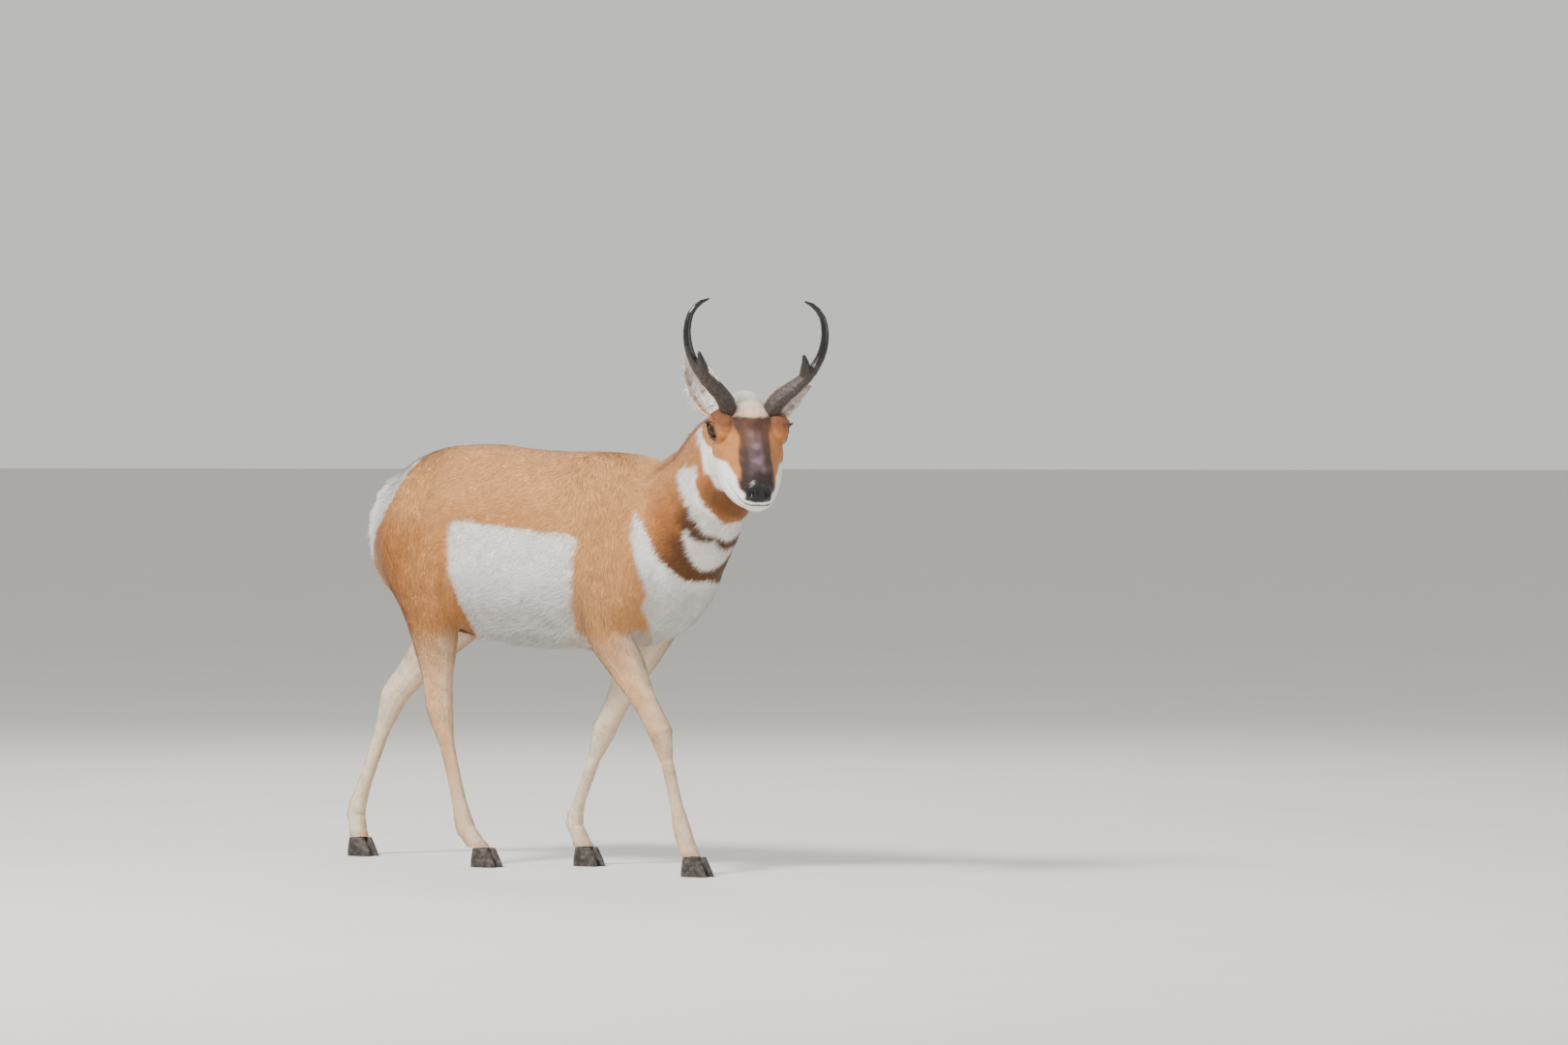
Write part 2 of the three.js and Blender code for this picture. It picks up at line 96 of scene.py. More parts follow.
# Borders of the markings, as (where, border) pairs in millimetres. On the trunk and breast the
# border's x changes with height, on the neck its way up changes with the angle from the nape,
# and on the head its height, or half its width, changes with x.
RUMP_EDGE = [
    (600, -474), (660, -452), (700, -430), (733, -412), (784, -398), (825, -385), (850, -372), (880, -350),
]
FLANK_REAR = [(500, -198), (540, -198), (586, -213), (612, -231)]
BREAST_REAR = [(505, 212), (525, 237), (543, 258), (573, 278), (606, 281), (642, 265), (685, 248), (740, 238)]
BREAST_FRONT = [(604, 343), (618, 330), (642, 308), (677, 289), (713, 266), (742, 240)]
CRESCENT_LOW = [(53, 296), (102, 289), (139, 274), (159, 263), (171, 258), (180, 262)]
CRESCENT_HIGH = [(53, 310), (98, 354), (122, 330), (151, 312), (170, 306), (180, 298)]
BIB_LOW = [(152, 229), (163, 200), (171, 186), (180, 176)]
BIB_HIGH = [(152, 231), (166, 230), (173, 238), (180, 250)]
JAW_EDGE = [(-151, -8), (-118, -17), (-91, -26), (-67, -41)]
CHEEK_LINE = [(-96, -30), (-60, -36), (-30, -50), (0, -58), (42, -46), (91, -36), (133, -45), (166, -63)]
MASK_HALF = [(30, 38), (56, 33), (80, 31), (110, 34), (160, 35)]
MOUTH_LINE = [(100, -69), (120, -73), (150, -78), (175, -83), (204, -88)]

FLESH = [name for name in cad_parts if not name.startswith(("eye", "horn")) and "claw" not in name]
EARS = ["ear_right", "ear_left"]
CLAWS = [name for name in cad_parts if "claw" in name]

SKIN_FACES = 186000
WIDE_SMOOTHING = 240
WIDE_SHRINK = 1.6
HEAD_MIDDLE = (40.0, 0.0, -20.0)
HEAD_REACH = 230.0
SEED = 7

# Grids that the ears, horns and hooves are formed on, and their rounds of smoothing
EAR_VOXEL = 1.4 * MM
EAR_ROUNDS = 8
HORN_VOXEL = 1.1 * MM
HORN_ROUNDS = 60
HOOF_VOXEL = 1.6 * MM
HOOF_ROUNDS = 3

# The way the cup of the right and of the left ear opens, in the head's frame
EAR_OPENS = ((0.85, -0.4, 0.1), (0.85, 0.35, -0.1))

# How far the ridges of the horns' lower half stand out
RIDGE_HEIGHT = 0.7 * MM

# Tufts to a square millimetre of skin, and how many more there are where the hair is shortest
TUFT_DENSITY = 0.150
SHORT_TUFT_DENSITY = 0.17

# Tufts: thickness for their width, how far their ways differ, how dark their roots (painted shade among
# the tufts) and light their tips are against the skin, how far their shades differ, and how deep they are
# rooted
TUFT_THICKNESS = 0.55
TUFT_SPREAD = 0.16
ROOT_PAINTED_SHADE = 0.74
TIP_SHADE = 1.08
SHADE_SPREAD = 0.10
ROOT_DEPTH = 0.3 * MM
EYE_CLEARANCE = 24.5
HOOF_TOP = 46.0
TRUNK_SPLIT = -75.0

# OFBake: how far a cell runs past its bone's ends, and the patch of one tuft
OVERRUN = 0.15
TUFT_PATCH = 0.003


def place(x, y, z):
    """A point of the measured body, in metres in the model's frame."""
    return Vector(((x - ORIGIN[0]) * MM, (y - ORIGIN[1]) * MM, (z - ORIGIN[2]) * MM))


def measured(points):
    """Model points in metres, as millimetres in the frame of the body's measures."""
    return np.asarray(points) / MM + np.array(ORIGIN)


HEAD_ROTATION = np.array(Euler([math.radians(v) for v in HEAD_TURN], "XYZ").to_matrix())


def in_head(points):
    """Body millimetres seen in the head's frame: x along the palate, y to its left, z up."""
    return (points - np.array(HEAD_AT)) @ HEAD_ROTATION


def from_head(points):
    """Points of the head's frame as body millimetres."""
    return np.asarray(points) @ HEAD_ROTATION.T + np.array(HEAD_AT)


def in_model(points):
    """Points of the head's frame, in metres in the model's frame."""
    return (from_head(points) - np.array(ORIGIN)) * MM


def reach(points, centre=(0.0, 0.0, 0.0)):
    """Each point's distance to one place."""
    return np.linalg.norm(points - np.array(centre), axis=1)


def nose_leather(points, start, low):
    """Whether each point lies on the bare nose, ahead of start and above low in the head's frame."""
    h = in_head(points)
    return (h[:, 0] > start) & (h[:, 2] > low) & (reach(h) < HEAD_REACH)


def unit(vectors):
    return vectors / np.maximum(np.linalg.norm(vectors, axis=-1, keepdims=True), 1e-9)


def ramp(value, low, high):
    """0 below low, 1 above high, smooth between."""
    t = np.clip((value - low) / (high - low), 0.0, 1.0)
    return t * t * (3.0 - 2.0 * t)


def curve(value, pairs):
    """The border that a line through (where, border) pairs has at each value."""
    return np.interp(value, *zip(*pairs))


def band(value, low, high, soft):
    """1 between low and high, with soft edges, and 0 outside."""
    return ramp(value - low, -soft, soft) * ramp(high - value, -soft, soft)


def from_segment(points, start, end):
    """Each point's distance to a straight line from start to end."""
    start = np.array(start, float)
    axis = np.array(end, float) - start
    t = np.clip((points - start) @ axis / (axis @ axis), 0.0, 1.0)
    return np.linalg.norm(points - (start + t[:, None] * axis), axis=1)


def ripple(points, size, seed):
    """A smooth random field from -1 to 1 that changes over about size millimetres."""
    waves = 7
    draw = np.random.RandomState(seed)
    total = np.zeros(len(points))
    for _ in range(waves):
        heading = unit(draw.normal(size=3)) * draw.uniform(0.6, 1.6) * math.pi / size
        total += np.sin(points @ heading + draw.uniform(0.0, 6.28))
    return total / 4.5


def bones():
    """Every bone as (start, end, radius, part), from the muzzle to the hooves."""
    rows = [(*TRUNK_BONE, "trunk"), (NECK_TOP, NECK_BASE, 85.0, "neck")]
    muzzle, poll = from_head([(190, 0, -52), (-112, 0, -10)])
    rows.append((tuple(muzzle), tuple(poll), 55.0, "head"))
    rows.append((*TAIL_BONE, "tail"))
    for leg, joints in LEG_JOINTS.items():
        rows += [(joints[i], joints[i + 1], LEG_RADII[i], leg) for i in range(5)]
    return rows


BONES = bones()
BONE_PARTS = [row[3] for row in BONES]


def bone_distances(points):
    """Each point's distance to each bone, in bone radii."""
    far = np.empty((len(points), len(BONES)))
    for i, (start, end, radius, _) in enumerate(BONES):
        far[:, i] = from_segment(points, start, end) / radius
    return far


def coat_lie(points, normals):
    """The way the hair points: back along the trunk, down the legs, from nose to poll."""
    far = bone_distances(points)
    weight = np.exp(-4.4 * (far - far.min(axis=1, keepdims=True)))
    headings = np.array([unit(np.array(e, float) - np.array(s, float)) for s, e, _, _ in BONES])
    headings[0] = unit(np.array([-1.0, 0.0, -0.28]))
    lie = weight @ headings
    lie -= normals * np.sum(lie * normals, axis=1, keepdims=True)
    lie += 0.10 * np.stack([ripple(points, 60, 40 + k) for k in range(3)], axis=1)
    lie -= normals * np.sum(lie * normals, axis=1, keepdims=True)
    return unit(lie)


def neck_place(points):
    """How far up the neck from its base, and the angle from nape (0) round to throat (180)."""
    base = np.array(NECK_BASE)
    axis = unit(np.array(NECK_TOP) - base)
    side = unit(np.array([0.0, 1.0, 0.0]) - axis[1] * axis)
    over = np.cross(axis, side)
    over = over if over[2] > 0 else -over
    offset = points - base
    return offset @ axis, np.degrees(np.arctan2(np.abs(offset @ side), offset @ over))


def linear(colour):
    """An sRGB hex colour as linear red, green and blue."""
    channels = [int(colour[i:i + 2], 16) / 255.0 for i in (1, 3, 5)]
    return tuple(c / 12.92 if c <= 0.04045 else ((c + 0.055) / 1.055) ** 2.4 for c in channels)


COLOURS = {
    "back": ("Back and sides", "Tan of the back and sides", "#d0935a"),
    "rust": ("Rust", "Deeper orange of the neck and the back of the thigh", "#a96427"),
    "white": ("White", "White of flank, rump, cheek and throat bands", "#efebe4"),
    # Belly: grey painted shade, laid over the white of the underside, the lower flank and the lower breast
    "belly": ("Belly", "Greyer white under the belly", "#bcb9b5"),
    "leg": ("Legs", "Pale tan of the lower legs", "#d2a77c"),
    "inner_leg": ("Inside of legs", "Cream on the inner and front side of the legs", "#e3d0b4"),
    # Dark: brown-black of the ear tips and streaks, and on the throat, where it is partly painted shade
    "dark": ("Dark throat", "Brown-black where a throat band ends", "#3a2113"),
    "mask": ("Face mask", "Brown-black of the nose bridge", "#33211b"),
    "brow": ("Brow", "Red-brown of the forehead", "#6d3f25"),
    # Nose bridge: a painted reflection of the sky, lilac-grey, along the middle of the dark mask
    "bridge": ("Nose bridge", "Grey-brown along the middle of the nose", "#8a7279"),
    "black": ("Nose", "Black of the nose, lips and lid edges", "#0d0b0b"),
}


def tone(name):
    """A colour of the settings, as linear red, green and blue."""
    return np.array(getattr(bpy.context.scene.pronghorn, name))


class Paint:
    """Colours laid over one another on the points of a coat."""

    def __init__(self, count, first):
        self.colour = np.tile(tone(first), (count, 1))

    def lay(self, name, mask):
        mask = np.clip(mask, 0.0, 1.0)[:, None]
        self.colour = self.colour * (1.0 - mask) + tone(name) * mask


def paint_trunk(paint, p, edge):
    """Rust on the thigh, the white square of the flank, grey painted shade on the belly and lower flank,
    white rump and seat.
    """
    x, y, z = p[:, 0] + edge, np.abs(p[:, 1]), p[:, 2] + edge
    paint.lay("rust", 0.75 * ramp(-x, 250, 400) * ramp(-z, -760, -640))
    paint.lay("rust", 0.35 * ramp(-z, -800, -690) * ramp(-x, -60, 60))
    top = 711 - 0.10 * (x + 60)
    front = 100 + 0.10 * (z - 600)
    rear = curve(z, FLANK_REAR)
    flank = ramp(top - z, -5, 5) * band(x, rear, front, 5)
    for corner_x in (front - 28, -198):
        outside = np.maximum((x - corner_x) * np.sign(corner_x), 0.0)
        flank *= ramp(-np.hypot(outside, np.maximum(z - top + 30, 0.0)), -38, -28)
    paint.lay("white", flank)
    # Painted shade: grey over the white underside, and in streaks over the lower flank
    under = ramp(-z, -512, -488) * ramp(-y, -118, -84) * ramp(x - rear, -5, 5)
    lock_shade = ramp(ripple(p * np.array([0.5, 1.0, 1.3]), 8, 6), -0.2, 0.7)
    paint.lay("belly", np.maximum(under, flank * (0.35 + 0.6 * lock_shade) * ramp(-z, -640, -520)))
    paint.lay("white", ramp(curve(z, RUMP_EDGE) - x, -5, 5) * ramp(z, 560, 620))
    paint.lay("white", ramp(-y, -62, -44) * ramp(-x, 380, 430) * ramp(z, 480, 520))


def paint_breast(paint, p, edge, share):
    """The white of the breast, which runs up to a point before the shoulder, greyed low down by painted
    shade.
    """
    x, z = p[:, 0] + edge, p[:, 2] + edge
    front = np.where(z < 603, 900.0, curve(z, BREAST_FRONT))
    breast = band(x, curve(z, BREAST_REAR), front, 4) * ramp(-z, -748, -738)
    paint.lay("white", share * breast)
    # Painted shade: grey on the lower breast
    paint.lay("belly", 0.45 * share * breast * ramp(-z, -640, -540))


def paint_neck(paint, p, edge, share):
    """Rust neck with two white throat bands, dark between them and darkened by painted shade toward the
    throat's front and under the jaw, and white behind the cheek.
    """
    up, round_neck = neck_place(p)
    up = up + edge
    paint.lay("rust", share * ramp(up, 60, 200) * (0.25 + 0.6 * ramp(round_neck, 20, 120)))
    # Brown-black at the throat's front below and between the bands, partly their dark colour and partly
    # painted shade; under the jaw it is painted shade
    low_end_and_shade = ramp(round_neck, 118, 160) * ramp(up, 60, 110) * ramp(-up, -232, -200)
    middle = ramp(round_neck, 120, 150) * ramp(up, 218, 232) * ramp(-up, -300, -280)
    under_jaw_shade = ramp(round_neck, 118, 165) * ramp(up, 296, 330)
    paint.lay("dark", share * (0.8 * low_end_and_shade + 0.85 * middle + 0.7 * under_jaw_shade))
    crescent = band(up, curve(round_neck, CRESCENT_LOW), curve(round_neck, CRESCENT_HIGH), 3)
    paint.lay("white", share * crescent * ramp(round_neck, 52, 60))
    bib = band(up, curve(round_neck, BIB_LOW), curve(round_neck, BIB_HIGH), 3)
    paint.lay("white", share * bib * ramp(round_neck, 151, 155))
    streak = ramp(up, 388, 402) * ramp(round_neck, 84, 92) * ramp(-round_neck, -120, -108)
    paint.lay("white", 0.9 * share * streak)
    h = in_head(p)
    behind_jaw = ramp(h[:, 0] - curve(h[:, 2], JAW_EDGE), -3, 4)
    paint.lay("white", share * behind_jaw * ramp(h[:, 2], -146, -134) * ramp(-h[:, 2], 52, 64))


def paint_legs(paint, p, n, share):
    """Pale tan lower legs, cream on their inner sides and fronts, rust above the hooves."""
    paint.lay("leg", share * 0.8 * ramp(-p[:, 2], -560, -420))
    inner = ramp(-n[:, 1] * np.sign(p[:, 1]), 0.05, 0.6)
    front = ramp(n[:, 0], 0.25, 0.85) * 0.35
    paint.lay("inner_leg", share * 0.9 * np.maximum(inner, front))
    paint.lay("inner_leg", share * 0.35 * ramp(-p[:, 2], -240, -120))
    paint.lay("rust", share * 0.45 * ramp(-p[:, 2], -62, -44))


def paint_head(paint, p, share, edge):
    """Pale crown, red-brown brow, dark mask down the nose with a painted sky reflection along its middle,
    white cheeks, black nose and lids, and a black mouth line that is partly painted shade.
    """
    h = in_head(p)
    x, y, z = h[:, 0] + edge, np.abs(h[:, 1]), h[:, 2] + 0.6 * edge
    paint.lay("rust", share * 0.75)
    paint.lay("brow", share * 0.85 * ramp(z, 8, 26) * ramp(x, -30, -8))
    crown_end = 36.0 - 0.014 * y * y + 2.5 * ripple(h, 7, 15)
    crown = ramp(crown_end - x, -4, 6) * ramp(z, 14, 32) * ramp(-y, -50, -40)
    paint.lay("white", share * 0.85 * crown)
    paint.lay("back", share * 0.6 * crown * ramp(x, -40, 24))
    paint.lay("white", share * ramp(curve(x, CHEEK_LINE) - z, -4, 4) * ramp(x, -96, -84))
    half_mask = curve(x, MASK_HALF) + 2.5 * ripple(h, 10, 16)
    mask = ramp(half_mask - y, -3, 4) * ramp(x - crown_end, -4, 5) * ramp(z, -76, -70)
    paint.lay("mask", share * mask * (0.82 + 0.18 * ramp(x, 60, 120)))
    streak = ramp(ripple(h * np.array([0.35, 1.0, 1.0]), 11, 5), -0.1, 0.8)
    # Painted reflection: lilac-grey sky light in streaks along the middle of the mask, where the brown
    # streaks are kept off
    middle = ramp(-y, -22, -8) * ramp(x, 50, 84) * ramp(-x, -168, -146)
    paint.lay("bridge", share * 0.75 * mask * middle * (0.35 + 0.65 * streak))
    paint.lay("brow", share * 0.5 * mask * streak * (1.0 - middle) * ramp(-x, -165, -120))
    nose = ramp(x, 172, 180) * ramp(z, -78, -73) * ramp(-z, 40, 46)
    around = ramp(x, 140, 176) * ramp(z, -76, -70)
    paint.lay("black", share * np.maximum(nose, 0.6 * around))
    lips = ramp(x, 152, 162) * ramp(-z, 74, 78) + ramp(x, 120, 150) * ramp(y, 24, 30) * ramp(-z, 58, 66)
    paint.lay("white", share * lips)
    # Black along the mouth: the lips' dark edge, and painted shade in the mouth's crease
    mouth = ramp(-np.abs(z - curve(x, MOUTH_LINE)), -3.2, -1.6) * ramp(x, 118, 165)
    paint.lay("black", share * 0.9 * mouth)
    lids = np.stack([x - EYE["at"][0] - 12, y - EYE["at"][1] - 12, z], axis=1) / LID_BLACK
    paint.lay("black", share * 0.88 * ramp(-reach(lids), -1.06, -0.86))


def head_share(points):
    """1 on the head and 0 on the neck behind and below it."""
    h = in_head(points)
    side = 94.0 - 0.2 * np.maximum(0.0, -40.0 - h[:, 2])
    over_neck = ramp(h[:, 0], -100, -84) * ramp(side - np.abs(h[:, 1]), 0, 8)
    return over_neck * ramp(h[:, 2], -118, -108) * ramp(-reach(h), -235, -220)


def coat_colours(points, normals):
    """The coat's colour at points of the measured body, the same for skin and tufts."""
    far = bone_distances(points)
    weight = np.exp(-9.0 * (far - far.min(axis=1, keepdims=True)))
    weight /= weight.sum(axis=1, keepdims=True)
    share = {part: weight[:, [i for i, name in enumerate(BONE_PARTS) if name == part]].sum(axis=1)
             for part in dict.fromkeys(BONE_PARTS)}
    legs = sum(share[leg] for leg in LEG_JOINTS)
    edge = 1.2 * ripple(points, 9, 2) + 1.8 * ripple(points, 30, 3)
    paint = Paint(len(points), "back")
    paint_trunk(paint, points, edge)
    paint_legs(paint, points, normals, legs * ramp(-points[:, 2], -520, -470))
    head = head_share(points)
    up, round_neck = neck_place(points)
    ahead = (1.0 - head) * ramp(points[:, 0], 246, 300) * ramp(up + 0.55 * (round_neck - 90), 120, 150)
    paint_neck(paint, points, 0.7 * edge, ahead * (1.0 - np.clip(legs - 0.5, 0.0, 0.5) * 2.0))
    paint_breast(paint, points, edge, 1.0 - ramp(legs, 0.4, 0.75) * ramp(-points[:, 2], -590, -550))
    paint_head(paint, points, head, 0.6 * edge)
    paint.lay("white", share["tail"] * 0.8)
    shade = 1.0 + 0.07 * ripple(points, 45, 9) + 0.05 * ripple(points, 7, 10)
    return np.clip(paint.colour * shade[:, None], 0.0, 1.0)


def coat_depth(points):
    """How deep the coat is, in millimetres."""
    part = np.array(BONE_PARTS)[bone_distances(points).argmin(axis=1)]
    x, z = points[:, 0], points[:, 2]
    depth = np.full(len(points), 4.0)
    depth += 3.0 * ramp(-z, -560, -480) * ramp(z, 400, 440) * ramp(-np.abs(x + 60), -260, -180)
    depth += 4.0 * ramp(-x, 380, 450) * ramp(z, 560, 640)
    lower = np.isin(part, list(LEG_JOINTS)) * ramp(-z, -540, -430)
    depth = depth * (1.0 - lower) + 1.3 * lower
    head = in_head(points)
    face = ramp(head[:, 0], -90, -30) * ramp(-reach(head), -HEAD_REACH, -212)
    return depth * (1.0 - face) + 1.1 * face


def mesh_arrays(mesh):
    """A mesh's vertex places, and its triangles as their corners' numbers."""
    places = np.empty(len(mesh.vertices) * 3, np.float32)
    mesh.vertices.foreach_get("co", places)
    mesh.calc_loop_triangles()
    corners = np.empty(len(mesh.loop_triangles) * 3, np.int32)
    mesh.loop_triangles.foreach_get("vertices", corners)
    return places.reshape(-1, 3).astype(float), corners.reshape(-1, 3)


def vertex_normals(places, faces):
    """The way out at each vertex, weighted by the faces' areas."""
    a, b, c = (places[faces[:, k]] for k in range(3))
    flat = np.cross(b - a, c - a)
    total = np.zeros_like(places)
    for k in range(3):
        for axis in range(3):
            total[:, axis] += np.bincount(faces[:, k], flat[:, axis], minlength=len(places))
    return unit(total)


def make_object(name, places, faces):
    """A smooth-shaded mesh object, linked to the scene."""
    mesh = bpy.data.meshes.new(name)
    mesh.vertices.add(len(places))
    mesh.vertices.foreach_set("co", np.asarray(places, np.float32).ravel())
    mesh.loops.add(faces.size)
    mesh.loops.foreach_set("vertex_index", faces.astype(np.int32).ravel())
    mesh.polygons.add(len(faces))
    mesh.polygons.foreach_set("loop_start", np.arange(0, faces.size, faces.shape[1], dtype=np.int32))
    mesh.update(calc_edges=True)
    mesh.polygons.foreach_set("use_smooth", np.ones(len(faces), bool))
    piece = bpy.data.objects.new(name, mesh)
    bpy.context.collection.objects.link(piece)
    return piece


def applied(source):
    """Places and faces of a working object with its modifiers, and the end of that object."""
    graph = bpy.context.evaluated_depsgraph_get()
    mesh = bpy.data.meshes.new_from_object(source.evaluated_get(graph))
    result = mesh_arrays(mesh)
    bpy.data.meshes.remove(mesh)
    working = source.data
    bpy.data.objects.remove(source)
    bpy.data.meshes.remove(working)
    return result


def evaluated(places, faces, modifiers):
    """Places and faces after a stack of modifiers, each given as its kind and settings."""
    source = make_object("working", places, faces)
    for kind, settings in modifiers:
        modifier = source.modifiers.new(kind, kind)
        for key, value in settings.items():
            setattr(modifier, key, value)
    return applied(source)


def merged(parts):
    """Several sets of places and faces as one."""
    starts = np.cumsum([0] + [len(places) for places, _ in parts])
    faces = [part_faces + start for (_, part_faces), start in zip(parts, starts)]
    return np.concatenate([places for places, _ in parts]), np.concatenate(faces)


def smoothed(places, faces, rounds):
    """Smoothing in pairs of steps in and out, which takes the flats off without shrinking."""
    pair = [("SMOOTH", {"factor": factor, "iterations": 1}) for factor in (0.5, -0.515)]
    return evaluated(places, faces, pair * rounds)[0]


def eased(places, faces):
    """The body's flats and steps smoothed widely, the legs less, the head and its lids least."""
    points = measured(places)
    head = ramp(-reach(in_head(points), HEAD_MIDDLE), -215, -170)
    legs = ramp(-points[:, 2], -500, -420)
    for rounds, holds in ((5, skin_holds(points)), (22, skin_holds(points)), (35, head)):
        places = mixed(smoothed(places, faces, rounds), places, holds)
    wide = evaluated(places, faces, [("SMOOTH", {"factor": 0.5, "iterations": WIDE_SMOOTHING})])[0]
    wide += vertex_normals(wide, faces) * WIDE_SHRINK * MM
    return mixed(wide, places, np.maximum(head, legs))


def mixed(first, second, share):
    """The first set of places where share is 0, and the second where it is 1."""
    return first * (1.0 - share)[:, None] + second * share[:, None]


def remeshed(names, voxel):
    """The solids of several nodes, formed anew as one closed surface on a grid."""
    places, faces = merged([mesh_arrays(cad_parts[name].data) for name in names])
    return evaluated(places, faces, [("REMESH", {"mode": "VOXEL", "voxel_size": voxel, "adaptivity": 0.0})])


# Muscles, folds and hollows: centre, reach along x, y and z, and height, in millimetres.
# The body's two sides are alike. Each one is a swelling, or a hollow where its height is negative.
BODY_FORMS = [
    ((-330, 112, 800), (46, 34, 30), 4.0),
    ((-232, 118, 610), (16, 40, 95), -7.0),
    ((-262, 120, 640), (40, 40, 60), 4.0),
    ((-285, 130, 594), (44, 40, 20), 4.0),
    ((-316, 130, 584), (14, 40, 13), -4.0),
    ((-292, 130, 565), (22, 40, 15), -2.4),
    ((-256, 130, 563), (22, 40, 14), -1.8),
    ((-420, 100, 690), (34, 40, 70), 3.0),
    ((205, 118, 640), (40, 40, 60), 5.0),
    ((232, 118, 560), (30, 40, 34), 6.0),
    ((160, 116, 720), (22, 40, 60), -4.0),
    ((150, 120, 590), (30, 40, 44), 4.0),
    ((100, 120, 560), (14, 40, 60), -5.0),
    ((262, 108, 690), (16, 40, 60), -4.0),
    ((160, 60, 850), (60, 24, 18), 3.0),
    ((-60, 110, 560), (120, 50, 30), 4.0),
]
NECK_FORMS = [
    ((300, 80, 800), (60, 40, 22), 4.0),
    ((380, 70, 730), (60, 40, 18), -3.0),
]
HEAD_FORMS = [
    ((-22, 50, -62), (34, 24, 26), 3.0),
    ((44, 50, 0), (22, 18, 22), 5.0),
    ((30, 46, 34), (20, 12, 12), 3.0),
    ((52, 46, -24), (46, 20, 8), 3.0),
    ((66, 40, -52), (30, 20, 14), -3.5),
    ((58, 24, 30), (40, 12, 14), -2.5),
    ((110, 0, 6), (50, 12, 12), 2.0),
    ((22, 34, 44), (24, 14, 14), 3.0),
    ((4, 60, 30), (30, 16, 8), 3.5),
    ((-52, 48, 20), (26, 20, 20), -3.0),
    ((150, 24, -30), (24, 10, 12), 2.5),
]


def swelling(points, forms):
    """How far the forms lift the surface at each point."""
    folded = points * np.array([1.0, 0.0, 1.0]) + np.abs(points) * np.array([0.0, 1.0, 0.0])
    total = np.zeros(len(points))
    for centre, reach, height in forms:
        away = (folded - np.array(centre, float)) / np.array(reach, float)
        total += height * np.exp(-np.sum(away * away, axis=1))
    return total


def leg_forms(points):
    """Bone knobs at the knee, tendon grooves below it, and the hollows before a hock's cord."""
    total = np.zeros(len(points))
    for leg, joints in LEG_JOINTS.items():
        hind = leg.startswith("hind")
        thigh, knee, fetlock = (np.array(joints[i], float) for i in (2, 3, 4))
        for side in (1.0, -1.0):
            away = (points - knee - np.array([0.0, 20.0 * side, 4.0])) / np.array([14.0, 10.0, 16.0])
            total += 2.2 * np.exp(-np.sum(away ** 2, axis=1))
            top = knee + np.array([-12.0 if hind else -8.0, 15.0 * side, -40.0])
            away = from_segment(points, top, fetlock + np.array([-6.0, 14.0 * side, 30.0]))
            total -= 1.5 * np.exp(-((away / 5.0) ** 2))
            if hind:
                top = thigh + np.array([-16.0, 26.0 * side, -40.0])
                away = from_segment(points, top, knee + np.array([0.0, 18.0 * side, 26.0]))
                total -= 4.0 * np.exp(-((away / 9.0) ** 2))
    return total


def mouth_and_nose(points):
    """The mouth's line, the nostrils' rims and the cleft of the lip, in the head's frame."""
    h = in_head(points)
    x, y, z = h[:, 0], np.abs(h[:, 1]), h[:, 2]
    mouth = -3.2 * np.exp(-(((z - curve(x, MOUTH_LINE)) / 1.9) ** 2)) * ramp(x, 98, 108)
    rim = np.hypot((z + 57) / 10.0, (y - 16) / 7.0)
    nostril = 1.8 * np.exp(-(((rim - 1.0) / 0.35) ** 2)) * ramp(x, 172, 182)
    cleft = -1.6 * np.exp(-((y / 1.8) ** 2)) * ramp(x, 178, 186) * ramp(-z, 60, 68)
    return mouth + nostril + cleft


def lid_folds(points):
    """The ridge of each lid and the crease over it."""
    h = in_head(points)
    x, y, z = h[:, 0] - EYE["at"][0], np.abs(h[:, 1]), h[:, 2] - EYE["at"][2]
    near = ramp(y, 58, 66)
    ring = np.hypot(x / (EYE["length"] + 3.0), z / (EYE["height"] + 3.0))
    lid = 1.3 * np.exp(-(((ring - 1.05) / 0.10) ** 2))
    crease = -1.6 * np.exp(-(((ring - 1.42) / 0.10) ** 2)) * ramp(z, -4, 6)
    return near * (lid + crease)


def skin_holds(points):
    """Holds the lids and nose back from smoothing."""
    h = in_head(points)
    folded = np.stack([h[:, 0], np.abs(h[:, 1]), h[:, 2]], axis=1)
    lids = ramp(-reach(folded, (12, 72, 0)), -36, -26)
    nose = ramp(-reach(h, (188, 0, -58)), -34, -22)
    return 0.8 * np.maximum(lids, nose)


def cell_of(bone):
    """The corner and size of a bone's cell in the unwrap."""
    if bone == 0:
        return 0.01, 0.01, 0.48, 0.58
    if bone in (1, 2):
        return 0.51, 0.01 + 0.30 * (bone - 1), 0.48, 0.28
    row, column = divmod(bone - 3, 11)
    return 0.005 + 0.09 * column, 0.605 + 0.195 * row, 0.08, 0.185


CELLS = np.array([cell_of(i) for i in range(len(BONES))])


def around_bone(points, bone):
    """Angle round a bone in turns and the way along it, for each point and its own bone."""
    starts = np.array([b[0] for b in BONES], float)[bone]
    ends = np.array([b[1] for b in BONES], float)[bone]
    axis = ends - starts
    t = np.sum((points - starts) * axis, axis=1) / np.sum(axis * axis, axis=1)
    t = np.clip(t, -OVERRUN, 1.0 + OVERRUN)
    heading = unit(axis)
    side = unit(np.array([0.0, 1.0, 0.0]) - heading * heading[:, 1:2])
    over = np.cross(heading, side)
    offset = points - starts
    turn = np.arctan2(np.sum(offset * side, axis=1), np.sum(offset * over, axis=1)) / (2.0 * math.pi)
    return turn, (t + OVERRUN) / (1.0 + 2.0 * OVERRUN)


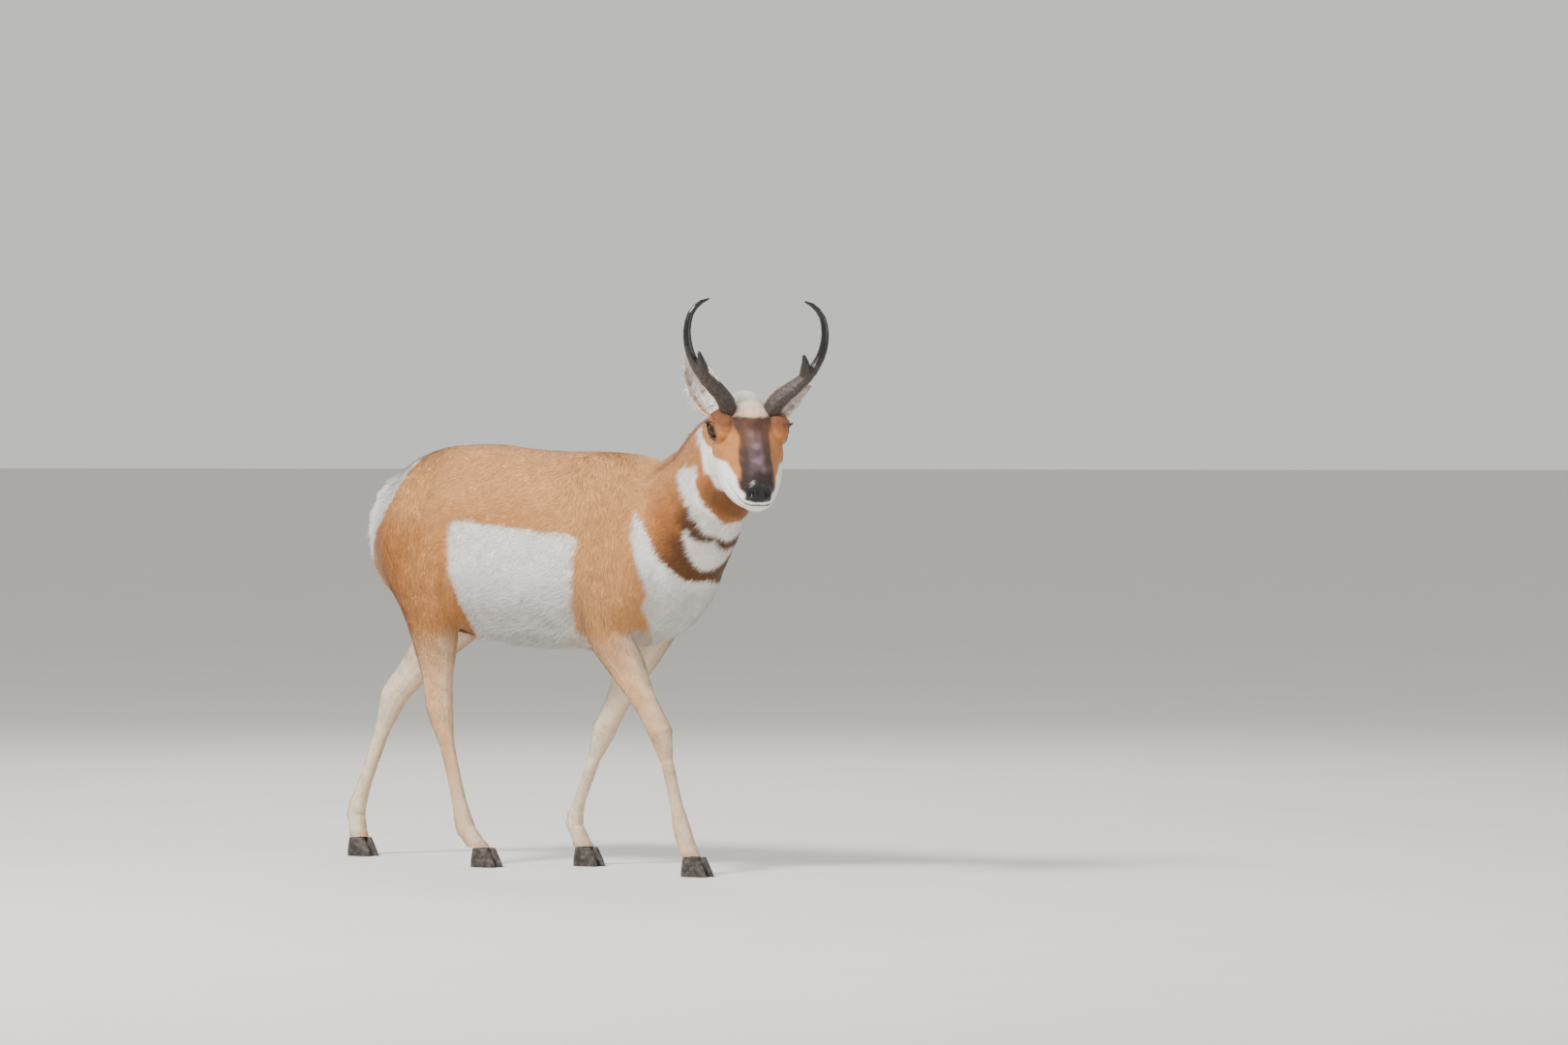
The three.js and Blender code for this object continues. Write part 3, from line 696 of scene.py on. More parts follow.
def unwrap(points, bone, turn_near=None):
    """OFBake places: every bone's flesh unrolled round it into a cell of its own."""
    turn, along = around_bone(points, bone)
    if turn_near is not None:
        turn = turn_near + (turn - turn_near + 0.5) % 1.0 - 0.5
    cell = CELLS[bone]
    u = cell[:, 0] + cell[:, 2] * (0.03 + 0.94 * np.clip(turn + 0.5, -0.03, 1.03))
    v = cell[:, 1] + cell[:, 3] * along
    return np.stack([u, v], axis=1)


def unwrap_faces(piece, places, faces):
    """Lays a piece's own faces out in the cells of their nearest bones."""
    layer = piece.data.uv_layers.new(name="OFBake")
    centre = measured(places[faces].mean(axis=1))
    bone = bone_distances(centre).argmin(axis=1)
    turn, _ = around_bone(centre, bone)
    corners = measured(places[faces.ravel()])
    uv = unwrap(corners, np.repeat(bone, 3), np.repeat(turn, 3))
    layer.data.foreach_set("uv", uv.astype(np.float32).ravel())


def set_colour(piece, name, colours):
    """Puts one colour on each vertex, under a name that the material reads."""
    layer = piece.data.color_attributes.new(name, "FLOAT_COLOR", "POINT")
    full = np.concatenate([colours, np.ones((len(colours), 1))], axis=1)
    layer.data.foreach_set("color", full.astype(np.float32).ravel())


def finish_piece(piece, nodes=()):
    """Fixes a piece to the one body and what it replaces."""
    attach(piece, "root")
    if nodes:
        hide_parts(*nodes)


def node(tree, kind, inputs=None, **settings):
    """Adds a node with its settings, and its inputs as values or as links."""
    made = tree.nodes.new(kind)
    for key, value in settings.items():
        setattr(made, key, value)
    for key, value in (inputs or {}).items():
        if isinstance(value, bpy.types.NodeSocket):
            tree.links.new(value, made.inputs[key])
        else:
            made.inputs[key].default_value = value
    return made


def blank(name, values):
    """A material with one Principled shader, its constant values set on its own sockets."""
    material = bpy.data.materials.new(name)
    material.use_nodes = True
    tree = material.node_tree
    shader = tree.nodes["Principled BSDF"]
    for key, value in values.items():
        shader.inputs[key].default_value = value
    return material, tree, shader


def pattern(tree, kind, size, more=None, **settings):
    """A texture on the object's own places, its grain size metres across."""
    space = node(tree, "ShaderNodeTexCoord")
    inputs = {"Vector": space.outputs["Object"], "Scale": 1.0 / size, **(more or {})}
    return node(tree, kind, inputs, **settings)


def spread(tree, value, low, high):
    """A value from 0 to 1, spread between low and high."""
    return node(tree, "ShaderNodeMapRange", {"Value": value, 3: low, 4: high}).outputs["Result"]


def two_tone(tree, value, low, high, start=0.0, end=1.0):
    """One sRGB colour turning into another as a value runs from start to end."""
    made = node(tree, "ShaderNodeValToRGB", {"Fac": value})
    for element, position, colour in zip(made.color_ramp.elements, (start, end), (low, high)):
        element.position = position
        element.color = (*linear(colour), 1.0)
    return made.outputs["Color"]


def relief(tree, shader, height, strength, depth):
    """Bumps of a depth in metres where a height runs from 0 to 1."""
    bump = node(tree, "ShaderNodeBump", {"Height": height, "Strength": strength, "Distance": depth})
    tree.links.new(bump.outputs["Normal"], shader.inputs["Normal"])


def shaded(tree, shader, attribute, value, low, high):
    """A piece's own colours, made darker and lighter between low and high by a value."""
    colour = node(tree, "ShaderNodeAttribute", attribute_name=attribute)
    shade = spread(tree, value, low, high)
    lit = node(tree, "ShaderNodeVectorMath", {0: colour.outputs["Color"], "Scale": shade}, operation="SCALE")
    tree.links.new(lit.outputs["Vector"], shader.inputs["Base Color"])


def short_hair(name, bump):
    """Short hair on skin: dull, with fine streaks that break the light like separate hairs."""
    sheen = {"Sheen Weight": 0.12, "Sheen Roughness": 0.5}
    material, tree, shader = blank(name, {"Roughness": 0.72, "IOR": 1.5, "Specular IOR Level": 0.25, **sheen})
    strands = pattern(tree, "ShaderNodeTexNoise", 5.0 * MM, {"Detail": 4.0}).outputs["Fac"]
    shaded(tree, shader, "coat", strands, 0.86, 1.12)
    relief(tree, shader, strands, bump, 0.6 * MM)
    return material


def bare_nose():
    """Bare nose leather: fine pebbled grain, moist, so it takes a soft broken highlight."""
    material, tree, shader = blank("nose_leather_moist", {"IOR": 1.45})
    pebbles = pattern(tree, "ShaderNodeTexVoronoi", 1.6 * MM).outputs["Distance"]
    tree.links.new(spread(tree, pebbles, 0.24, 0.5), shader.inputs["Roughness"])
    colour = node(tree, "ShaderNodeAttribute", attribute_name="coat")
    tree.links.new(colour.outputs["Color"], shader.inputs["Base Color"])
    relief(tree, shader, pebbles, 0.5, 0.4 * MM)
    return material


def horn_keratin():
    """Horn sheath: matted grey-brown hair fused over its base, polished black keratin above."""
    material, tree, shader = blank("horn_keratin_grown", {"IOR": 1.54})
    age = node(tree, "ShaderNodeAttribute", attribute_name="sheath").outputs["Fac"]
    fibres = pattern(tree, "ShaderNodeTexNoise", 4.0 * MM, {"Detail": 5.0, "Roughness": 0.65}).outputs["Fac"]
    base = two_tone(tree, fibres, "#1b1512", "#54453b", 0.36, 0.66)
    polished = two_tone(tree, fibres, "#0b0a0a", "#1c1917")
    colour = node(tree, "ShaderNodeMix", {0: age, 6: base, 7: polished}, data_type="RGBA")
    tree.links.new(colour.outputs[2], shader.inputs["Base Color"])
    tree.links.new(spread(tree, age, 0.62, 0.24), shader.inputs["Roughness"])
    worn = spread(tree, age, 1.0, 0.12)
    height = node(tree, "ShaderNodeMath", {0: fibres, 1: worn}, operation="MULTIPLY")
    relief(tree, shader, height.outputs["Value"], 0.35, 0.8 * MM)
    return material


def hoof_horn():
    """Hoof horn: dark, dull, with growth rings a few millimetres apart and dusty scuffs."""
    material, tree, shader = blank("hoof_horn_worn", {"IOR": 1.54})
    ring_shape = {"Distortion": 3.0, "Detail": 2.0}
    rings = pattern(tree, "ShaderNodeTexWave", 12.0 * MM, ring_shape, bands_direction="Z").outputs["Fac"]
    scuffs = pattern(tree, "ShaderNodeTexNoise", 9.0 * MM, {"Detail": 5.0}).outputs["Fac"]
    tree.links.new(two_tone(tree, scuffs, "#1f1a17", "#5a4d42", 0.4, 0.72), shader.inputs["Base Color"])
    tree.links.new(spread(tree, scuffs, 0.38, 0.7), shader.inputs["Roughness"])
    relief(tree, shader, rings, 0.4, 0.5 * MM)
    return material


def wet_eye():
    """A living eye: deep brown iris under a clear wet surface, which takes a sharp highlight."""
    values = {"Roughness": 0.05, "IOR": 1.376, "Coat Weight": 0.15, "Coat Roughness": 0.02}
    material, tree, shader = blank("eye_cornea_wet", values)
    rays = pattern(tree, "ShaderNodeTexNoise", 3.0 * MM, {"Detail": 3.0}).outputs["Fac"]
    shaded(tree, shader, "iris", rays, 0.7, 1.3)
    return material


def studio_floor():
    """Matt painted floor: pale and even, with a faint mottle from the roller."""
    material, tree, shader = blank("floor_paint_rolled", {"Roughness": 0.85})
    mottle = pattern(tree, "ShaderNodeTexNoise", 0.35, {"Detail": 3.0}).outputs["Fac"]
    tree.links.new(two_tone(tree, mottle, "#cfccc6", "#d8d5cf"), shader.inputs["Base Color"])
    return material


def shaped_skin():
    """The skin but for the ears: formed over the flesh, then lifted by its muscles and folds."""
    flesh = [name for name in FLESH if name not in EARS]
    places, faces = remeshed(flesh, bpy.context.scene.pronghorn.skin_voxel)
    places, faces = thinned(eased(places, faces), faces)
    points = measured(places)
    head = ramp(-reach(in_head(points), HEAD_MIDDLE), -190, -165)
    lift = (1.0 - head) * (swelling(points, BODY_FORMS) + swelling(points, NECK_FORMS) + leg_forms(points))
    lift += head * (swelling(in_head(points), HEAD_FORMS) + mouth_and_nose(points) + lid_folds(points))
    return places + vertex_normals(places, faces) * ((lift - coat_depth(points)) * MM)[:, None], faces


def build_skin():
    """One skin over the flesh, inside the coat, with muscles, folds, lids, lips and nostrils."""
    parts = [shaped_skin()]
    ear_start = len(parts[0][0])
    for name in EARS:
        places, faces = remeshed([name], EAR_VOXEL)
        parts.append((smoothed(places, faces, EAR_ROUNDS), faces))
    places, faces = merged(parts)
    normals = vertex_normals(places, faces)
    piece = make_object("skin", places, faces)
    colours = coat_colours(measured(places), normals)
    colours[ear_start:] = ear_colours(measured(places[ear_start:]), normals[ear_start:])
    set_colour(piece, "coat", colours)
    unwrap_faces(piece, places, faces)
    piece.data.materials.append(short_hair("hair_on_skin_short", 0.5))
    piece.data.materials.append(bare_nose())
    bare = nose_leather(measured(places[faces].mean(axis=1)), 173, -76)
    piece.data.polygons.foreach_set("material_index", bare.astype(np.int32))
    finish_piece(piece, FLESH)


def thinned(places, faces):
    """Fewer faces over the body and legs, nearly all of them kept on the head."""
    ratio = SKIN_FACES / len(faces)
    if ratio >= 1.0:
        return places, faces
    source = make_object("working", places, faces)
    group = source.vertex_groups.new(name="body")
    near = reach(in_head(measured(places)), (60, 0, -20)) < 150
    group.add(np.flatnonzero(~near).tolist(), 1.0, "REPLACE")
    group.add(np.flatnonzero(near).tolist(), 0.12, "REPLACE")
    modifier = source.modifiers.new("thin", "DECIMATE")
    modifier.ratio = ratio
    modifier.vertex_group = "body"
    modifier.vertex_group_factor = 1.0
    return applied(source)


def ear_sides(points):
    """Ear points in the head's frame, and the way that each one's cup opens."""
    h = in_head(points)
    right, left = np.array(EAR_OPENS)
    opens = np.where(h[:, 1:2] < 0, right, left)
    return h, unit(opens) @ HEAD_ROTATION.T


def ear_colours(points, normals):
    """Tan and rust outside, white in the cup with dark streaks, and dark at the tip."""
    h, opens = ear_sides(points)
    inside = ramp(np.sum(normals * opens, axis=1), 0.05, 0.45)
    paint = Paint(len(points), "back")
    paint.lay("rust", 0.4 * (1.0 - inside))
    paint.lay("white", 0.85 * inside)
    tip = ramp(h[:, 2], 70, 96)
    paint.lay("dark", 0.55 * inside * ramp(ripple(points, 12, 21), 0.0, 0.9) + 0.5 * tip * (1.0 - inside))
    return np.clip(paint.colour, 0.0, 1.0)


def tuft_pattern(rings):
    """The faces of one tuft, whose corners run ring by ring from its root to its tip."""
    faces = [(0, 1, 2)]
    for r in range(rings - 1):
        for k in range(3):
            a, b = 3 * r + k, 3 * r + (k + 1) % 3
            faces += [(a, b + 3, b), (a, a + 3, b + 3)]
    last = 3 * (rings - 1)
    faces += [(last + k, last + 3, last + (k + 1) % 3) for k in range(3)]
    return np.array(faces)


def tuft_mesh(name, roots, normals, lies, length, width, lift, colours, rings=1, droop=0.0):
    """Closed tapering tufts, rooted in the skin and lying along the coat. Sizes are in metres."""
    count, per = len(roots), 3 * rings + 1
    draw = np.random.RandomState(SEED + count)
    side = unit(np.cross(lies, normals))
    lies = unit(lies + side * draw.normal(0.0, TUFT_SPREAD, (count, 1)))
    side = unit(np.cross(lies, normals))
    corners = []
    for r in range(rings + 1):
        t = r / rings
        turn = lift[:, None] * (1.0 - droop * t)
        centre = roots + (lies * np.cos(turn) + normals * np.sin(turn)) * length[:, None] * t
        half = 0.5 * width[:, None] * (1.0 - 0.35 * t)
        below = centre - normals * half * 2.0 * TUFT_THICKNESS
        corners += [centre - side * half, centre + side * half, below]
    corners[-3:] = [centre]
    places = np.stack(corners, axis=1)
    pattern_faces = tuft_pattern(rings)
    a, b, c = (places[0, pattern_faces[0, k]] for k in range(3))
    if np.dot(np.cross(b - a, c - a), places[0].mean(axis=0) - a) > 0:
        pattern_faces = pattern_faces[:, ::-1]
    faces = (pattern_faces[None] + per * np.arange(count)[:, None, None]).reshape(-1, 3)
    piece = make_object(name, places.reshape(-1, 3), faces)
    shade = np.ones((count, per, 1))
    # Roots darkened as painted shade among the tufts, tips lighter, each tuft's tone differing at random
    shade[:, :3] = ROOT_PAINTED_SHADE
    shade[:, -1] = TIP_SHADE
    shade *= 1.0 + draw.normal(0.0, SHADE_SPREAD, (count, 1, 1))
    set_colour(piece, "coat", np.clip(colours[:, None, :] * shade, 0.0, 1.0).reshape(-1, 3))
    tilt = np.zeros((count, per, 3))
    for r in range(rings):
        tilt[:, 3 * r] -= 0.45 * side
        tilt[:, 3 * r + 1] += 0.45 * side
    soft = unit(normals[:, None, :] + tilt + 0.25 * lies[:, None, :] + draw.normal(0.0, 0.10, (count, 1, 3)))
    piece.data.normals_split_custom_set_from_vertices(soft.reshape(-1, 3).astype(np.float32))
    return piece, faces


def tuft_unwrap(piece, faces, roots, per):
    """Each tuft's patch is 0.003 across, at its root's place on the skin's unwrap."""
    points = measured(roots)
    bone = bone_distances(points).argmin(axis=1)
    uv = unwrap(points, bone)
    patch = TUFT_PATCH * np.array([(k % 2, k // 2 % 2) for k in range(per)])
    vertex_uv = (uv[:, None, :] + patch[None]).reshape(-1, 2)
    layer = piece.data.uv_layers.new(name="OFBake")
    layer.data.foreach_set("uv", vertex_uv[faces.ravel()].astype(np.float32).ravel())


def between(values, corner, u, v):
    """The vertices' values inside their faces, at shares u and v of the second and third corner."""
    return values[corner[:, 0]] * (1 - u - v) + values[corner[:, 1]] * u + values[corner[:, 2]] * v


def scatter(places, faces, density, seed):
    """Random roots on the skin, by a density in tufts per square millimetre at each face."""
    draw = np.random.RandomState(seed)
    a, b, c = (places[faces[:, k]] for k in range(3))
    area = 0.5 * np.linalg.norm(np.cross(b - a, c - a), axis=1) / (MM * MM)
    want = area * density
    count = np.floor(want + draw.uniform(size=len(want))).astype(int)
    chosen = np.repeat(np.arange(len(faces)), count)
    u, v = draw.uniform(size=(2, len(chosen), 1))
    flip = (u + v) > 1.0
    u, v = np.where(flip, 1.0 - u, u), np.where(flip, 1.0 - v, v)
    return a[chosen] * (1.0 - u - v) + b[chosen] * u + c[chosen] * v, chosen, u, v


def coat_sizes(points):
    """Tuft length, width (metres) and lift (radians) at points of the coat."""
    depth = coat_depth(points)
    x, z = points[:, 0], points[:, 2]
    length = 2.3 * depth + 3.0
    up, round_neck = neck_place(points)
    mane = ramp(-round_neck, -15, -7) * ramp(up, 190, 260) * ramp(-up, -430, -400)
    length += 9.0 * mane
    crown = (in_head(points) - np.array([-34.0, 0.0, 56.0])) / np.array([1.0, 1.6, 1.0])
    length += 12.0 * ramp(-reach(crown), -30, -18)
    belly = ramp(-z, -650, -540) * ramp(z, 430, 470) * ramp(x, -220, -196) * ramp(-x, -130, -96)
    length += 9.0 * belly
    length *= 1.0 + 0.22 * ripple(points, 17, 51)
    width = 0.05 * length + 0.65
    lift = 0.10 + 0.02 * depth + 0.16 * mane + 0.07 * np.maximum(ripple(points, 13, 52), 0.0)
    lift += 0.12 * ramp(-z, -600, -500) * ramp(z, 400, 430) + 0.08 * belly
    lift += 0.22 * ramp(-x, 400, 470) * ramp(z, 560, 640)
    return length * MM, width * MM, lift


def build_coat():
    """Short tufts over the whole skin, smallest on the face and legs, in one piece a region."""
    settings = bpy.context.scene.pronghorn
    skin = bpy.data.objects["skin"]
    places, faces = mesh_arrays(skin.data)
    normals = vertex_normals(places, faces)
    centre = measured(places[faces].mean(axis=1))
    depth = coat_depth(centre)
    density = settings.coat_density * (TUFT_DENSITY + SHORT_TUFT_DENSITY * ramp(-depth, -3.4, -1.2))
    h = in_head(centre)
    eye = reach(np.stack([h[:, 0], np.abs(h[:, 1]), h[:, 2]], axis=1), EYE["at"])
    hairless = nose_leather(centre, 168, -78) | (eye < EYE_CLEARANCE) | (centre[:, 2] < HOOF_TOP)
    density *= np.where(hairless, 0.0, 1.0)
    roots, chosen, u, v = scatter(places, faces, density, SEED)
    corner = faces[chosen]
    root_normals = unit(between(normals, corner, u, v))
    points = measured(roots)
    lies = coat_lie(points, root_normals)
    colours = root_colours(skin, corner, u, v)
    length, width, lift = coat_sizes(points)
    length = length * np.random.RandomState(SEED + 1).uniform(0.75, 1.25, len(roots))
    material = short_hair("hair_tufts_short", 0.0)
    for name, member in coat_regions(points).items():
        i = np.flatnonzero(member)
        piece, tuft_faces = tuft_mesh(
            f"coat_{name}", roots[i] - root_normals[i] * ROOT_DEPTH, root_normals[i], lies[i],
            length[i], width[i], lift[i], colours[i],
        )
        tuft_unwrap(piece, tuft_faces, roots[i], 4)
        piece.data.materials.append(material)
        finish_piece(piece)


def coat_regions(points):
    """Which points belong to each piece of the coat. The trunk's tufts are shared out in two."""
    part = np.array(BONE_PARTS)[bone_distances(points).argmin(axis=1)]
    trunk = (part == "trunk") | (part == "tail")
    regions = {"head": part == "head", "neck": part == "neck"}
    regions["barrel"] = trunk & (points[:, 0] > TRUNK_SPLIT)
    regions["rump"] = trunk & (points[:, 0] <= TRUNK_SPLIT)
    return regions | {leg: part == leg for leg in LEG_JOINTS}


def root_colours(skin, corner, u, v):
    """The skin's own colour at each root."""
    layer = skin.data.color_attributes["coat"]
    values = np.empty(len(layer.data) * 4, np.float32)
    layer.data.foreach_get("color", values)
    values = values.reshape(-1, 4)[:, :3].astype(float)
    return between(values, corner, u, v)


def eye_axes(side):
    """The way an eye looks, and the level way across it, in the head's frame."""
    turn = math.radians(EYE["forward"])
    gaze = np.array([math.sin(turn), side * math.cos(turn), 0.0])
    return gaze, np.cross(gaze, [0.0, 0.0, 1.0])


def eye_colours(out, gaze, level):
    """Dark brown iris with a lying oval pupil, by each point's way out from the ball's centre."""
    across, up = out @ level, out[:, 2]
    front = ramp(out @ gaze, 0.0, 0.2)
    colour = np.tile(linear("#2a1d16"), (len(out), 1))
    iris = ramp(-np.hypot(across, up), -0.78, -0.7) * front
    pupil = ramp(-np.hypot(across / 0.36, up / 0.22), -1.1, -0.9) * front
    for mask, shade in ((iris, "#2e1a0e"), (pupil, "#050404")):
        colour = colour * (1.0 - mask[:, None]) + np.array(linear(shade)) * mask[:, None]
    return colour


def build_eyes():
    """Two eyeballs under the lids: dark iris, a lying oval pupil and a wet surface."""
    material = wet_eye()
    rows, columns = 48, 64
    polar = np.linspace(0.0, math.pi, rows + 1)[1:-1]
    angle = np.linspace(0.0, 2.0 * math.pi, columns, endpoint=False)
    a, b = (grid.reshape(-1, 1) for grid in np.meshgrid(polar, angle, indexing="ij"))
    bulge = 1.0 + EYE_BULGE * np.exp(-((a / 0.5) ** 2))
    for name, side in (("right", -1.0), ("left", 1.0)):
        gaze, level = eye_axes(side)
        rings = gaze * np.cos(a) + np.sin(a) * (level * np.cos(b) + np.array([0.0, 0.0, 1.0]) * np.sin(b))
        ball = np.concatenate([[gaze * (1.0 + EYE_BULGE)], bulge * rings, [-gaze]])
        places = EYE["radius"] * ball + np.array(EYE["at"]) * np.array([1.0, side, 1.0])
        piece = make_object(f"eyeball_{name}", in_model(places), sphere_faces(len(polar), columns))
        set_colour(piece, "iris", eye_colours(unit(ball), gaze, level))
        piece.data.materials.append(material)
        fix_facing(piece)
        finish_piece(piece, [f"eye_{name}"])


def sphere_faces(rings, columns):
    """Triangles of a ball: one end, the rings with their columns, and the other end."""
    faces = []
    last = 1 + rings * columns
    for k in range(columns):
        n = (k + 1) % columns
        faces.append((0, 1 + k, 1 + n))
        for r in range(rings - 1):
            a, b = 1 + r * columns + k, 1 + r * columns + n
            faces += [(a, a + columns, b + columns), (a, b + columns, b)]
        faces.append((last, last - columns + n, last - columns + k))
    return np.array(faces)


def fix_facing(piece):
    """Turns a closed piece's faces out if they point in."""
    places, faces = mesh_arrays(piece.data)
    a, b, c = (places[faces[:, k]] for k in range(3))
    if np.sum(a * np.cross(b, c)) < 0:
        piece.data.flip_normals()


def build_lashes():
    """Long black lashes along each upper lid, swept out and a little up."""
    draw = np.random.RandomState(SEED + 3)
    up = np.array([0.0, 0.0, 1.0])
    row = LASHES // 2
    roots, normals, lies, lengths = [], [], [], []
    for side in (-1.0, 1.0):
        out, level = eye_axes(side)
        along = level * side
        for k in range(LASHES):
            angle = math.radians(18.0 + 150.0 * (k % row) / (row - 1))
            reach = EYE["length"] * math.cos(angle)
            height = EYE["height"] * math.sin(angle) * (1.0 - 0.35 * math.cos(angle) ** 2)
            deep = math.sqrt(LASH_CLEARANCE ** 2 - reach ** 2 - height ** 2)
            root = np.array(EYE["at"]) * np.array([1.0, side, 1.0]) + along * reach + out * (deep + 0.8)
            roots.append(root + up * (height + 0.8 + k // row))
            lies.append(unit(out + along * (0.75 * math.cos(angle) + draw.normal(0, 0.07)) + up * 0.30))
            normals.append(unit(up - 0.2 * out))
            lengths.append(draw.uniform(9.0, 15.0) * (0.6 + 0.4 * math.sin(angle)))
    count = len(roots)
    roots = in_model(roots)
    piece, faces = tuft_mesh(
        "lashes", roots, np.array(normals) @ HEAD_ROTATION.T, np.array(lies) @ HEAD_ROTATION.T,
        np.array(lengths) * MM, np.full(count, 0.9 * MM), np.full(count, 0.35),
        np.tile(tone("black"), (count, 1)), rings=3, droop=-0.6,
    )
    tuft_unwrap(piece, faces, roots, 10)
    piece.data.materials.append(short_hair("hair_lashes", 0.0))
    finish_piece(piece)


def build_horns():
    """Horn sheaths: ridged and matted below the prong, smooth and polished above."""
    material = horn_keratin()
    for name in ("right", "left"):
        places, faces = remeshed([f"horn_{name}"], HORN_VOXEL)
        places = smoothed(places, faces, HORN_ROUNDS)
        points = measured(places)
        h = in_head(points)
        polish = ramp(h[:, 2], 118, 168)
        normals = vertex_normals(places, faces)
        along = h * np.array([1.0, 0.35, 0.30])
        rough = 0.9 * ripple(along, 5, 31) + 0.6 * ripple(along, 2.6, 32) + 0.5 * ripple(h, 16, 33)
        places = places + normals * (rough * (1.0 - polish) * RIDGE_HEIGHT)[:, None]
        piece = make_object(f"horn_sheath_{name}", places, faces)
        layer = piece.data.attributes.new("sheath", "FLOAT", "POINT")
        layer.data.foreach_set("value", polish.astype(np.float32))
        piece.data.materials.append(material)
        finish_piece(piece, [f"horn_{name}"])


def build_hooves():
    """Cleft hooves with their edges worn round and growth rings on the wall."""
    material = hoof_horn()
    for name in CLAWS:
        places, faces = remeshed([name], HOOF_VOXEL)
        places = smoothed(places, faces, HOOF_ROUNDS)
        places[:, 2] = np.maximum(places[:, 2], 0.0)
        piece = make_object(f"hoof_{name}", places, faces)
        piece.data.materials.append(material)
        finish_piece(piece, [name])


def build_light(name, spot, aim, size, power):
    """A square soft light, its size in metres and its power in watts."""
    light = bpy.data.objects.new(name, bpy.data.lights.new(name, "AREA"))
    bpy.context.collection.objects.link(light)
    light.data.size = size
    light.data.energy = power
    light.location = spot
    light.rotation_euler = (aim - spot).to_track_quat("-Z", "Y").to_euler()


def build_stage():
    """A plain pale floor, soft studio light and the camera at the photo's angle."""
    far = FLOOR_REACH
    corners = [(-far, -far, 0), (far, -far, 0), (far, far, 0), (-far, far, 0)]
    floor = make_object("floor", corners, np.array([[0, 1, 2, 3]]))
    floor.data.materials.append(studio_floor())
    azimuth, elevation = math.radians(VIEW["azimuth"]), math.radians(VIEW["elevation"])
    away = math.cos(elevation)
    back = Vector((math.sin(azimuth) * away, -math.cos(azimuth) * away, math.sin(elevation)))
    right = Vector((math.cos(azimuth), math.sin(azimuth), 0.0))
    ground = place(0.0, 0.0, 0.0)
    camera = bpy.data.objects.new("camera", bpy.data.cameras.new("camera"))
    bpy.context.collection.objects.link(camera)
    camera.location = ground + back * VIEW["distance"]
    aim = ground + right * VIEW["right"] + back.cross(right) * VIEW["up"]
    camera.rotation_euler = (aim - camera.location).to_track_quat("-Z", "Y").to_euler()
    camera.data.sensor_width = SENSOR
    camera.data.lens = SENSOR * PIXELS_PER_METRE * VIEW["distance"] / PHOTO_WIDTH
    camera.data.clip_end = 1000.0
    bpy.context.scene.camera = camera
    barrel = ground + Vector((0, 0, 0.6))
    build_light("key", ground - right * 3.4 + back * 3.4 + Vector((0, 0, 5.6)), barrel, 1.6, 900.0)
    build_light("fill", ground + right * 5.0 + back * 4.0 + Vector((0, 0, 2.6)), barrel, 4.0, 110.0)
    build_light("rim", ground - back * 5.0 + Vector((0, 0, 4.5)), barrel, 3.0, 160.0)
    world = bpy.data.worlds.new("studio")
    world.use_nodes = True
    sky = world.node_tree.nodes["Background"]
    sky.inputs["Color"].default_value = (*linear("#f0f0ee"), 1.0)
    sky.inputs["Strength"].default_value = 0.85
    bpy.context.scene.world = world


class PronghornSettings(bpy.types.PropertyGroup):
    """Sizes and colours of the buck's looks."""

    skin_voxel: bpy.props.FloatProperty(
        name="Skin grid", description="Grid that the skin is formed on", default=2.4 * MM, min=1.5 * MM,
        max=8.0 * MM, precision=4, subtype="DISTANCE", unit="LENGTH",
    )
    coat_density: bpy.props.FloatProperty(
        name="Coat density", description="Share of the full number of tufts", default=1.0, min=0.05, max=1.2,
        subtype="FACTOR",
    )


for key, (label, words, value) in COLOURS.items():
    PronghornSettings.__annotations__[key] = bpy.props.FloatVectorProperty(
        name=label, description=words, default=linear(value), min=0.0, max=1.0, size=3, subtype="COLOR",
    )


class PRONGHORN_OT_stage(bpy.types.Operator):
    """Lays the floor and sets the lights and the camera"""

    bl_idname = "pronghorn.stage"
    bl_label = "Stage"

    def execute(self, context):
        build_stage()
        return {"FINISHED"}


class PRONGHORN_OT_skin(bpy.types.Operator):
    """Forms one skin over the flesh and paints its markings"""

    bl_idname = "pronghorn.skin"
    bl_label = "Skin"

    def execute(self, context):
        build_skin()
        return {"FINISHED"}


